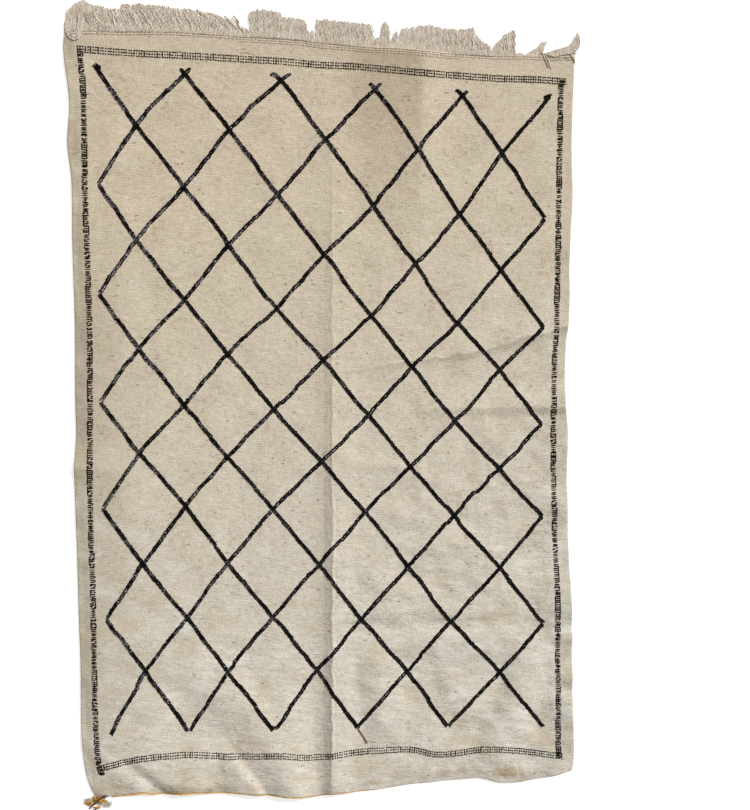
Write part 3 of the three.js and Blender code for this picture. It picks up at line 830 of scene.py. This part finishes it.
def black_wool():
    """Black yarn with pale hairs spun in, which show in short stretches along the middle of a line, and
    a painted grey highlight along the middle of a line, in patches.
    """
    wool = Finish("black_wool", roughness=1.0)
    wool.shader.inputs["Specular IOR Level"].default_value = 0.05
    u, _, _ = wool.apart(wool.places.outputs["UV"])
    x, y, _ = wool.apart(wool.places.outputs["Object"])
    middle = wool.within(wool.math("ABSOLUTE", wool.math("SUBTRACT", u, 0.5)), 0.3, 0.1)
    patches = wool.noise("Object", (38, 38, 38))
    fibres = wool.noise("Object", (420, 420, 420))
    flecks = wool.noise("UV", (3.0, 330, 1), 1.0)
    highlight_and_hairs = wool.within(wool.line(y, 0.3, wool.times(x, -1.0)), -0.7, 0.7, 0.34, 0.56)
    showing = wool.times(middle, wool.within(patches, 0.45, 0.58))
    threshold = wool.math("SUBTRACT", 1.0, highlight_and_hairs)
    pale = wool.within(wool.math("SUBTRACT", flecks, threshold), 0.0, 0.09)
    colour = wool.mix(wool.within(fibres, 0.4, 0.8), srgb(9, 8, 9), srgb(24, 21, 24))
    # painted highlight: grey along the middle of the line, in patches
    colour = wool.mix(wool.times(showing, wool.times(highlight_and_hairs, 0.3)), colour, srgb(120, 112, 122))
    colour = wool.mix(wool.times(showing, pale), colour, srgb(170, 164, 168))
    return wool.finish(colour, fibres, distance=0.4 * MM)


def yarn_finish(name, dark, pale, ply=0.006):
    """Plied yarn of one colour: slanting plies, one to each length ply, and uneven dye."""
    yarn = Finish(name, roughness=0.9, sheen=0.2)
    u, v, _ = yarn.apart(yarn.places.outputs["UV"])
    turns = yarn.line(v, 2 * math.pi / ply, yarn.times(u, 4 * math.pi))
    plies = yarn.math("SINE", turns)
    tone = yarn.noise("Object", (90, 90, 90), 3.0)
    shade = yarn.line(plies, 0.12, tone)
    colour = yarn.mix(yarn.within(shade, 0.3, 0.75), dark, pale)
    return yarn.finish(colour, plies, distance=0.4 * MM)


def pale_floor():
    """The floor, lit a little from within: one colour with the faintest unevenness."""
    floor = Finish("pale_floor", roughness=0.9)
    colour = srgb(252, 252, 252)
    floor.shader.inputs["Emission Color"].default_value = colour
    floor.shader.inputs["Emission Strength"].default_value = 0.5
    tone = floor.noise("Object", (0.6, 0.6, 0.6))
    return floor.finish(floor.mix(floor.within(tone, 0.2, 0.8, 0.0, 0.02), colour, srgb(250, 250, 250)))


FINISHES = {
    "cream_wool": cream_wool(),
    "fringe_wool": fringe_wool("fringe_wool", srgb(166, 151, 135), srgb(201, 189, 174), 0.48),
    "fray_wool": fringe_wool("fray_wool", srgb(206, 196, 182), srgb(226, 218, 206), 0.9),
    "twining_wool": fringe_wool("twining_wool", srgb(172, 160, 142), srgb(192, 181, 163), 0.5),
    "black_wool": black_wool(),
    "golden_yarn": yarn_finish("golden_yarn", srgb(150, 102, 34), srgb(222, 172, 76)),
    "tuft_yarn": yarn_finish("tuft_yarn", srgb(120, 76, 14), srgb(196, 142, 34)),
    "tuft_fuzz": fringe_wool("tuft_fuzz", srgb(200, 190, 172), srgb(224, 216, 200), 0.9),
    "red_yarn": yarn_finish("red_yarn", srgb(118, 24, 22), srgb(160, 52, 46), ply=0.004),
    "tie_wool": yarn_finish("tie_wool", srgb(10, 7, 7), srgb(44, 32, 30)),
}

# ---------------------------------------------------------------- camera, then the two loose ends


def make_camera():
    """A camera straight above the rug, as someone holds it who stands at the rug's side."""
    data = bpy.data.cameras.new("camera")
    data.lens = 38.0
    data.sensor_width = 36.0
    camera = bpy.data.objects.new("camera", data)
    camera.location = (-0.034, 0.170, 2.054)
    camera.rotation_euler = Euler([math.radians(a) for a in (-3.82, -3.89, 0.26)])
    bpy.context.scene.collection.objects.link(camera)
    bpy.context.scene.camera = camera


def loose_end(name, route, thick, finish):
    """A loose end of yarn that lies on the cloth, a little uneven in thickness."""
    path = resampled(smooth_path(route), LOOSE_END_STEPS)
    seat = top_at(path[:, 0], path[:, 1])
    off_cloth = path[:, 1] < hem_at(path[:, 0])
    seat = np.where(off_cloth, np.maximum(seat, TASSEL_THICK), seat)
    height = seat + PIECE_GAP + thick / 2
    height = np.convolve(np.pad(height, 3, mode="edge"), np.ones(7) / 7, mode="valid")
    points = np.column_stack((path, height)) * MM
    data = bpy.data.curves.new(name, "CURVE")
    data.dimensions = "3D"
    data.bevel_depth = thick / 2 * MM
    data.bevel_resolution = 3
    data.use_fill_caps = True
    spline = data.splines.new("POLY")
    spline.points.add(len(points) - 1)
    for k, (point, co) in enumerate(zip(spline.points, points)):
        point.co = (*co, 1)
        point.radius = 1.0 - 0.12 * math.sin(k * 1.7) ** 2
    data.materials.append(FINISHES[finish])
    piece = bpy.data.objects.new(name, data)
    bpy.context.scene.collection.objects.link(piece)
    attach(piece, "root")
    return piece


make_camera()
tie = loose_end("tie_yarn_black", TIE_YARN, TIE_YARN_THICK, "tie_wool")
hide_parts("tie_yarn")
thread = loose_end("thread_end_red", THREAD_END, THREAD_END_THICK, "red_yarn")
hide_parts("thread_end")

# ---------------------------------------------------------------- the cloth


def edge_stations(count, length, crests):
    """Shares of the way from one edge to the other: fine steps at each edge, for its rounding, and
    closer ones beside the sharp crests, whose places are in millimetres from the first edge."""
    fine = np.linspace(0, length, 2000)
    crowding = np.ones(len(fine))
    for crest in crests:
        crowding = crowding + 1.6 * np.exp(-((fine - crest) / 22) ** 2)
    reached = np.concatenate(([0], np.cumsum((crowding[1:] + crowding[:-1]) / 2)))
    inner = np.interp(np.linspace(0, reached[-1], count + 1)[1:-1], reached, fine) / length
    rim = np.array(RIM["inset"]) / length
    return np.concatenate((rim, inner, 1 - rim[::-1]))


def make_cloth():
    across = edge_stations(CLOTH_STEPS[0], CLOTH_SIZE[0], FINE_ACROSS)
    along = edge_stations(CLOTH_STEPS[1], CLOTH_SIZE[1], FINE_ALONG)
    bm = bmesh.new()
    uv_layer = bm.loops.layers.uv.new("UVMap")
    bmesh.ops.create_grid(bm, x_segments=len(across) - 1, y_segments=len(along) - 1, size=0.5)
    points = np.array([v.co for v in bm.verts])
    u = across[np.rint((points[:, 0] + 0.5) * (len(across) - 1)).astype(int)]
    v = along[np.rint((points[:, 1] + 0.5) * (len(along) - 1)).astype(int)]
    x, y = cloth_place(u, v)
    z = rise_at(x, y) + CLOTH_THICK / 2
    for vert, place in zip(bm.verts, np.column_stack((x, y, z)) * MM):
        vert.co = place
    for vert, where in zip(bm.verts, np.column_stack((u * CLOTH_SIZE[0], v * CLOTH_SIZE[1])) * MM):
        for loop in vert.link_loops:
            loop[uv_layer].uv = where
    mesh = bpy.data.meshes.new("woven_cloth_face")
    bm.to_mesh(mesh)
    bm.free()
    mesh.shade_smooth()
    piece = new_piece("cloth_cream", mesh, FINISHES["cream_wool"])
    # the cloth thins towards its edges
    inset = np.minimum(np.minimum(u, 1 - u) * CLOTH_SIZE[0], np.minimum(v, 1 - v) * CLOTH_SIZE[1])
    full = np.interp(inset, RIM["inset"], RIM["thick"])
    group = piece.vertex_groups.new(name="thickness")
    for weight in np.unique(full):
        group.add([int(k) for k in np.nonzero(full == weight)[0]], float(weight), "REPLACE")
    solid = piece.modifiers.new("thickness", "SOLIDIFY")
    solid.thickness = CLOTH_THICK * MM
    solid.offset = 0.0
    solid.vertex_group = "thickness"
    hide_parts("woven_cloth")
    return piece


cloth = make_cloth()

# ---------------------------------------------------------------- black stitches


def through(values, share):
    """A smooth curve through values that stand at even places from 0 to 1, read at share."""
    places = [k / (len(values) - 1) for k in range(len(values))]
    total = 0.0
    for own, value in zip(places, values):
        for other in places:
            if other != own:
                value = value * (share - other) / (own - other)
        total += value
    return total


LAST_ROW = len(LATTICE_ROWS) - 1
LAST_COLUMN = len(LATTICE_COLUMNS) - 1


def crossing(i, j):
    x = through(LATTICE_COLUMNS[i], j / LAST_ROW)
    y = through(LATTICE_ROWS[j], i / LAST_COLUMN)
    return np.array((x, y))


def lattice_line(i, j, step):
    """The crossings that a line passes from the crossing (i, j) on, going down and one column to the
    right (step 1) or to the left (step -1)."""
    points = []
    while 0 <= i <= LAST_COLUMN and j <= LAST_ROW:
        points.append(crossing(i, j))
        i += step
        j += 1
    return points


def with_end(points, i, j):
    """Adds what a line has above its first crossing: an ear above a peak, a hook at an upper corner."""
    if j == 0 and 0 < i < LAST_COLUMN:
        out, up = EARS[i // 2 - 1]
        return [points[0] + (math.copysign(out, points[0][0] - points[1][0]), up)] + points
    if j == 0:
        inward = 1 if i == 0 else -1
        return [points[0] + (inward * HOOK[0], HOOK[1])] + points
    return points


def wander(length, rng, reach, wavelength):
    """How far a line strays to its side, as a function of the distance along it."""
    knots = np.arange(0, length + 2 * wavelength, wavelength)
    values = rng.normal(0, reach, len(knots))
    return lambda s: np.interp(s, knots, values)


def jogs(length, rng, reach):
    """Small steps to the side where a line was picked up one warp too early or too late."""
    starts = np.cumsum(rng.uniform(38, 80, int(length / 40) + 2))
    values = rng.normal(0, reach, len(starts) + 1)
    knots = np.sort(np.concatenate(([0], starts - 2.5, starts + 2.5)))
    return lambda s: np.interp(s, knots, np.repeat(values, 2)[:len(knots)])


def along_path(points, before, after, pitch):
    """Stations every pitch along a smooth curve through the points, from the distance before on, up to
    the distance after from its end: x, y, heading and distance of each, and the curve's length."""
    path = smooth_path(points)
    lengths = np.concatenate(([0], np.cumsum(np.linalg.norm(np.diff(path, axis=0), axis=1))))
    stations = np.arange(before, lengths[-1] - after, pitch)
    x = np.interp(stations, lengths, path[:, 0])
    y = np.interp(stations, lengths, path[:, 1])
    return x, y, np.arctan2(np.gradient(y), np.gradient(x)), stations, lengths[-1]


def line_stitches(points, rng, eared):
    """Two columns of long plump stitches that lean outwards from the line's middle, as in a plait.
    A line that starts with an ear starts narrow."""
    x, y, heading, stations, length = along_path(points, 3.0, 2.5, LINE_STITCH["pitch"])
    stray = wander(length, rng, 0.8, 30)(stations) + jogs(length, rng, 1.0)(stations)
    x = x - np.sin(heading) * stray
    y = y + np.cos(heading) * stray
    width = LINE_WIDTH * (1 + wander(length, rng, 0.07, 22)(stations))
    if eared:
        width = width * np.interp(stations, (0, EAR_STRETCH), (0.55, 1))
    count = len(x)
    rows = []
    for side in (-1, 1):
        lean = heading + side * np.radians(LINE_STITCH["lean"] + rng.normal(0, 9, count))
        offset = side * width / 4 + rng.normal(0, 0.35, count)
        rows.append(np.column_stack((
            x - np.sin(heading) * offset, y + np.cos(heading) * offset, lean,
            LINE_STITCH["half_length"] + rng.normal(0, 0.5, count), width / 4 + rng.normal(0, 0.2, count),
            LINE_STITCH["height"] + rng.normal(0, 0.15, count), np.full(count, 0.25 + side / 4), stations,
        )))
    return np.vstack(rows)


def make_lattice():
    starts = [(i, 0) for i in range(0, LAST_COLUMN + 1, 2)]
    left_starts = [(0, j) for j in range(2, LAST_ROW, 2)]
    right_starts = [(LAST_COLUMN, j) for j in range(2, LAST_ROW, 2)]
    pieces = []
    for name, step, ends in (("lattice_falling", 1, starts[:-1] + left_starts),
                             ("lattice_rising", -1, starts[1:] + right_starts)):
        rng = np.random.default_rng(11 + step)
        rows = []
        for i, j in ends:
            points = with_end(lattice_line(i, j, step), i, j)
            rows.append(line_stitches(points, rng, eared=j == 0 and 0 < i < LAST_COLUMN))
        pieces.append(lay_stitches(name, np.vstack(rows), FINISHES["black_wool"]))
    return pieces


def stitch_rows(x, y, heading, half_length, half_width, height, stations, tone=BAND_TONE):
    """Stitches of a band, as rows for lay_stitches. Any measure may be one number for all of them."""
    columns = np.broadcast_arrays(x, y, heading, half_length, half_width, height, tone, stations)
    return np.column_stack([np.array(c, float) for c in columns])


def runs(count, rng, shortest, longest, share):
    """Which of count stitches belong to runs of neighbours, with gaps between the runs."""
    chosen = np.zeros(count, bool)
    start = 0
    while start < count:
        length = int(rng.integers(shortest, longest + 1))
        chosen[start:start + length] = rng.random() < share
        start += length
    return chosen


def ladder_stitches(points, rng, dense_top):
    """Bars right across the ladder, one to a pair of picks, joined here and there by upright stitches.
    The ladder's foot, and dense_top millimetres at its upper end, are worked so densely that only slits
    of cloth show."""
    x, y, _, stations, _ = along_path(points, LADDER_PITCH / 2, 0, LADDER_PITCH)
    count = len(x)
    y = y + rng.uniform(-0.9, 0.9, count)
    tilt = wander(stations[-1], rng, 0.06, 30)(stations) + rng.normal(0, 0.05, count)
    half = LADDER_BAR["half_length"] + rng.normal(0, 0.5, count)
    whole = rng.random(count) < 0.85
    thick = LADDER_BAR["half_width"] + rng.normal(0, 0.3, count)
    height = LADDER_BAR["height"]
    rows = [stitch_rows(x + rng.normal(0, 0.4, count), y, tilt, half, thick, height, stations)[whole]]
    middle, half, thick, height = LADDER_HALF_BAR.values()
    for side in (-1, 1):
        slip = rng.uniform(-1.8, 1.8, count)
        bars = stitch_rows(x + side * middle, y + slip, tilt, half, thick, height, stations)
        rows.append(bars[~whole])
    dense = (stations > stations[-1] - DENSE_FOOT) | (stations < dense_top)
    for column, share, thick in LADDER_POSTS:
        joins = runs(count, rng, 2, 7, share) & (rng.random(count) < 0.85)
        joins = joins | (dense & (rng.random(count) < 0.75))
        across = x + column + rng.normal(0, 0.3, count)
        upright = stitch_rows(across, y + LADDER_PITCH / 2, math.pi / 2, 3.0, thick, height, stations)
        rows.append(upright[joins])
    return np.vstack(rows)


def band_stitches(points, rng):
    """Three rows of dots along the band. Thin threads run on between them, and bars join the rows."""
    x, y, heading, stations, _ = along_path(points, BAND_PITCH / 2, 0, BAND_PITCH)
    count = len(x)
    knots = np.arange(0, stations[-1] + 80, 34)
    solid = np.interp(stations, knots, rng.uniform(0, 1, len(knots)))
    rows = []
    for row in BAND_ROWS:
        at_x, at_y = x + rng.normal(0, 0.3, count), y + row + rng.normal(0, 0.3, count)
        half = 1.85 + rng.normal(0, 0.3, count) + 0.4 * (solid > 0.7)
        rows.append(stitch_rows(at_x, at_y, heading, half, 1.7 + rng.normal(0, 0.15, count), 1.2, stations))
        thread = rng.random(count) < 0.25 + 0.4 * solid
        rows.append(stitch_rows(at_x + BAND_PITCH / 2, at_y, heading, 2.4, 0.7, 0.9, stations)[thread])
    upright = rng.random(count) < 0.25 + 0.35 * (solid > 0.5)
    rows.append(stitch_rows(x, y, heading + math.pi / 2, 7.0, 0.6, 0.8, stations)[upright])
    bars = rng.random(count) < 0.05 + 0.12 * solid
    rows.append(stitch_rows(x, y, heading + math.pi / 2, 7.4, 1.35, 1.2, stations)[bars])
    return np.vstack(rows)


def make_border():
    rng = np.random.default_rng(23)
    bands = np.vstack((band_stitches(TOP_BAND, rng), band_stitches(BOTTOM_BAND, rng)))
    ladders = np.vstack((ladder_stitches(LEFT_LADDER, rng, DENSE_TOP["left"]),
                         ladder_stitches(RIGHT_LADDER, rng, DENSE_TOP["right"])))
    return [
        lay_stitches("end_bands", bands, FINISHES["black_wool"]),
        lay_stitches("side_ladders", ladders, FINISHES["black_wool"]),
    ]


lattice = make_lattice()
border = make_border()

# ---------------------------------------------------------------- the twining along the header


def make_twining():
    """Rows of small slanting stitches that hold the last picks, just below the fringe, and small brown
    stitches in some of the gaps between them that paint the shadow there. The third row runs only where
    the end was bound again."""
    rng = np.random.default_rng(31)
    rows = []
    for row, (start, end) in enumerate(TWINING_ROWS):
        x = np.arange(start, end, TWINING_PITCH) + row * 2.2
        x = x + rng.normal(0, 0.3, len(x))
        y = header_at(x) - 2.5 - TWINING_SPACING * row + rng.normal(0, 0.25, len(x))
        slant = math.radians(24) + rng.normal(0, 0.12, len(x))
        rows.append(stitch_rows(x, y, slant, 2.3, 1.3, 0.8, x))
        # brown stitches in the gaps: painted shadow between the twining's stitches
        gaps = stitch_rows(x + 2.2, y - 1.9, 0.2, 1.2, 0.65, 0.7, x, GAP_SHADOW_TONE)
        rows.append(gaps[rng.random(len(x)) < 0.4])
    return lay_stitches("header_twining", np.vstack(rows), FINISHES["twining_wool"])


twining = make_twining()

# ---------------------------------------------------------------- the fringe


def tuft_point(tuft, share):
    """The root, the tip and the reach at a share of the way through a tuft, its inner ends leaning."""
    root_left, root_right, tip_left, tip_right, start, middle, end, lean = tuft
    fade = math.sin(math.pi * share) ** 0.6
    root = between(root_left, root_right, share) - lean * fade * 0.4
    tip = between(tip_left, tip_right, share) + lean * fade * 0.6
    arch = 4 * share * (1 - share) * (middle - (start + end) / 2)
    return root, tip, between(start, end, share) + arch


def warp_end(root, tip, reach, wave, hump):
    """One warp end from the header to its tip. wave holds the reach, length and phase of its waves."""
    share = np.linspace(0, 1, FRINGE_STEPS + 1)
    swing, wavelength, phase = wave
    sway = swing * np.sin(2 * math.pi * share * reach / wavelength + phase) * np.minimum(share * 3, 1)
    x = between(root, tip, share ** 1.15) + sway
    y = header_at(root) - 3 + (reach + 3) * share
    z = between(ROOT_HEIGHT, FRINGE_HEIGHT, np.minimum(share * 3, 1)) + hump * np.sin(math.pi * share)
    return np.column_stack((x, y, np.maximum(z, LEAST_HEIGHT)))


def tuft_ends(tuft, rng):
    """The warp ends of a tuft, in locks whose ends wave together and draw in towards their tips, with
    more ends under them and a few that stray over them."""
    span = tuft[1] - tuft[0]
    total = max(2, round(span / FRINGE_PITCH))
    paths = []
    made = 0
    while made < total:
        members = min(int(rng.integers(3, 7)), total - made)
        middle = (made + members / 2) / total
        drawn = rng.uniform(0.85, 1.15)
        swing, wavelength = rng.uniform(1.0, 2.2), rng.uniform(17, 23)
        phase = 2.5 * math.sin(tuft_point(tuft, middle)[0] / 14) + rng.normal(0, 0.5)
        lift, longer = rng.uniform(0, 0.7), rng.normal(0, 1.2)
        for k in range(members):
            share = (made + k + 0.5) / total
            root, tip, reach = tuft_point(tuft, share)
            _, lock_tip, _ = tuft_point(tuft, middle)
            tip = between(lock_tip, tip, drawn) + rng.normal(0, 0.8)
            wave = (swing * rng.uniform(0.7, 1.2), wavelength, phase + rng.normal(0, 0.5))
            reach = max(reach + longer + rng.normal(0, 1.0), 5)
            paths.append(warp_end(root + rng.normal(0, 0.4), tip, reach, wave, lift + rng.uniform(0, 0.6)))
        made += members
    for _ in range(round(total * UNDER_ENDS)):
        root, tip, reach = tuft_point(tuft, rng.uniform(0.02, 0.98))
        wave = (rng.uniform(0.5, 1.5), rng.uniform(18, 30), rng.uniform(0, 2 * math.pi))
        paths.append(warp_end(root, tip, max(reach + rng.normal(-2.5, 1.5), 5), wave, -0.4))
    for _ in range(round(total * STRAY_ENDS)):
        root, tip, reach = tuft_point(tuft, rng.uniform(0.05, 0.95))
        wave = (rng.uniform(1.0, 3.0), rng.uniform(18, 34), rng.uniform(0, 2 * math.pi))
        tip = tip + rng.normal(0, min(4.0, span / 10))
        paths.append(warp_end(root, tip, max(reach + rng.normal(-3, 3), 5), wave, rng.uniform(0.8, 1.8)))
    return paths


def fallen_ends(rng):
    """Warp ends that lie across the fringe and the cloth."""
    paths = []
    share = np.linspace(0, 1, FRINGE_STEPS + 1)
    for count, first, last in FALLEN_ENDS:
        routes = [resampled(smooth_path(route or first), FRINGE_STEPS + 1) for route in (first, last)]
        for k in range(count):
            x, y = between(*routes, k / max(count - 1, 1)).T
            x = x + rng.normal(0, 0.4) + 0.6 * np.sin(share * 12 + k)
            y = y + 0.6 * np.sin(share * 9 + 2 * k)
            seat = np.where(y < header_at(x) + 2, top_at(x, y), FRINGE_TOP)
            seat = np.convolve(np.pad(seat, 2, mode="edge"), np.ones(5) / 5, mode="valid")
            paths.append(np.column_stack((x, y, seat + 0.7 + rng.uniform(0, 0.4))))
    return paths


def frayed_hairs(paths, rng):
    """A few thin hairs that carry on from the tip of each warp end."""
    hairs = []
    share = np.linspace(0, 1, len(HAIR_RADII))[:, None]
    for path in paths:
        start, along = path[-3], path[-1] - path[-3]
        along = along / np.linalg.norm(along)
        for _ in range(HAIRS_PER_END):
            away = along + (rng.normal(0, 0.5), rng.normal(0, 0.25), rng.normal(0, 0.1))
            reach = rng.uniform(3, 6)
            bend = np.array((rng.normal(0, 1.2), 0.0, 0.0))
            hair = start + away * reach * share + bend * share ** 2
            hair[:, 2] = np.maximum(hair[:, 2], 0.8)
            hairs.append(hair)
    return hairs


def make_fringe():
    rng = np.random.default_rng(41)
    paths = [path for tuft in TUFTS for path in tuft_ends(tuft, rng)] + fallen_ends(rng)
    taper = np.interp(np.linspace(0, 1, FRINGE_STEPS + 1), (0, 0.1, 0.8, 1), (0.8, 1, 0.9, 0.45))
    radii = [taper * WARP_END / 2 * rng.uniform(0.75, 1.05) for _ in paths]
    cords = lay_rods("fringe_cords", rod_shape(FRINGE_STEPS, FRINGE_SIDES), paths, radii,
                     FINISHES["fringe_wool"], flatness=0.6)
    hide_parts("fringe")
    hairs = frayed_hairs(paths, rng)
    thin = [HAIR_RADII for _ in hairs]
    fray = lay_rods("fringe_fray", rod_shape(len(HAIR_RADII) - 1, 3), hairs, thin,
                    FINISHES["fray_wool"])
    return cords, fray


fringe, fray = make_fringe()

# ---------------------------------------------------------------- the golden yarn


def make_edge_cord():
    share = np.linspace(EDGE_CORD["at"][0], EDGE_CORD["at"][-1], EDGE_CORD_STEPS + 1)
    thick = read_column(EDGE_CORD, "thick", share)
    x = between(SELVEDGES["left"][0], SELVEDGES["right"][0], share)
    hem = read_column(ENDS, "hem", share)
    z = np.maximum(rise_at(x, hem) + CLOTH_THICK / 2, thick * 0.62)
    path = np.column_stack((x, hem - thick / 2 + 0.2, z))
    piece = lay_rods("edge_cord_golden", rod_shape(EDGE_CORD_STEPS, 8), [path], [thick / 2],
                     FINISHES["golden_yarn"], plies=PLIES, ply_depth=0.18)
    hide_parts("edge_cord")
    return piece


def tuft_strands(rng, steps, count, middle, headings, lengths, radius):
    """Curling strands that start near the middle of the tuft and run outwards, and their radii."""
    share = np.linspace(0, 1, steps + 1)
    paths = []
    for _ in range(count):
        heading = math.radians(rng.uniform(*headings)) + rng.normal(0, 1.1) * share
        length = rng.uniform(*lengths)
        x = middle[0] + rng.normal(0, 2.0) + length * 1.1 * share * np.cos(heading)
        y = middle[1] + rng.normal(0, 1.5) + length * 0.8 * share * np.sin(heading)
        z = 2.0 + rng.uniform(0, 3) * np.sin(math.pi * share) + 1.5 * (1 - share)
        paths.append(np.column_stack((x, y, z)))
    thick = radius * np.interp(share, (0, 0.7, 1), (1, 0.9, 0.35))
    return paths, [thick * rng.uniform(0.8, 1.1) for _ in paths]


def lay_strands(name, rng, rows, steps, sides, finish, ply_depth):
    """The strands of a table of the tuft as one piece."""
    paths, radii = [], []
    for row in rows:
        strands, thicks = tuft_strands(rng, steps, *row)
        paths += strands
        radii += thicks
    return lay_rods(name, rod_shape(steps, sides), paths, radii, FINISHES[finish],
                    plies=PLIES, ply_depth=ply_depth)


def make_tassel():
    """The golden tuft at the corner, and the grey fuzz that has come loose from it."""
    rng = np.random.default_rng(7)
    piece = lay_strands("tassel_golden", rng, TASSEL_STRANDS, 12, 6, "tuft_yarn", 0.15)
    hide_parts("corner_tassel")
    fuzz = lay_strands("tassel_fuzz", rng, TASSEL_FUZZ, 5, 3, "tuft_fuzz", 0.0)
    return piece, fuzz


edge_cord = make_edge_cord()
tassel, fuzz = make_tassel()

# ---------------------------------------------------------------- floor and light


def make_floor():
    bm = bmesh.new()
    bmesh.ops.create_grid(bm, x_segments=1, y_segments=1, size=6.0)
    mesh = bpy.data.meshes.new("floor")
    bm.to_mesh(mesh)
    bm.free()
    mesh.materials.append(pale_floor())
    floor = bpy.data.objects.new("floor", mesh)
    bpy.context.scene.collection.objects.link(floor)


def far_light(name, toward, angle, strength, colour):
    """An even soft light from a large window far off in the direction toward."""
    data = bpy.data.lights.new(name, "SUN")
    data.angle = math.radians(angle)
    data.energy = strength
    data.color = colour
    light = bpy.data.objects.new(name, data)
    light.location = toward
    light.rotation_euler = (-Vector(toward)).to_track_quat("-Z", "Y").to_euler()
    bpy.context.scene.collection.objects.link(light)


def make_light():
    scene = bpy.context.scene
    scene.view_settings.view_transform = "Standard"
    world = bpy.data.worlds.new("studio")
    world.use_nodes = True
    world.node_tree.nodes["Background"].inputs["Color"].default_value = (1.0, 0.955, 0.89, 1.0)
    world.node_tree.nodes["Background"].inputs["Strength"].default_value = 0.38
    scene.world = world
    far_light("window", (2.2, 2.0, 1.5), 14, 6.1, (0.965, 0.985, 1.0))


make_floor()
make_light()
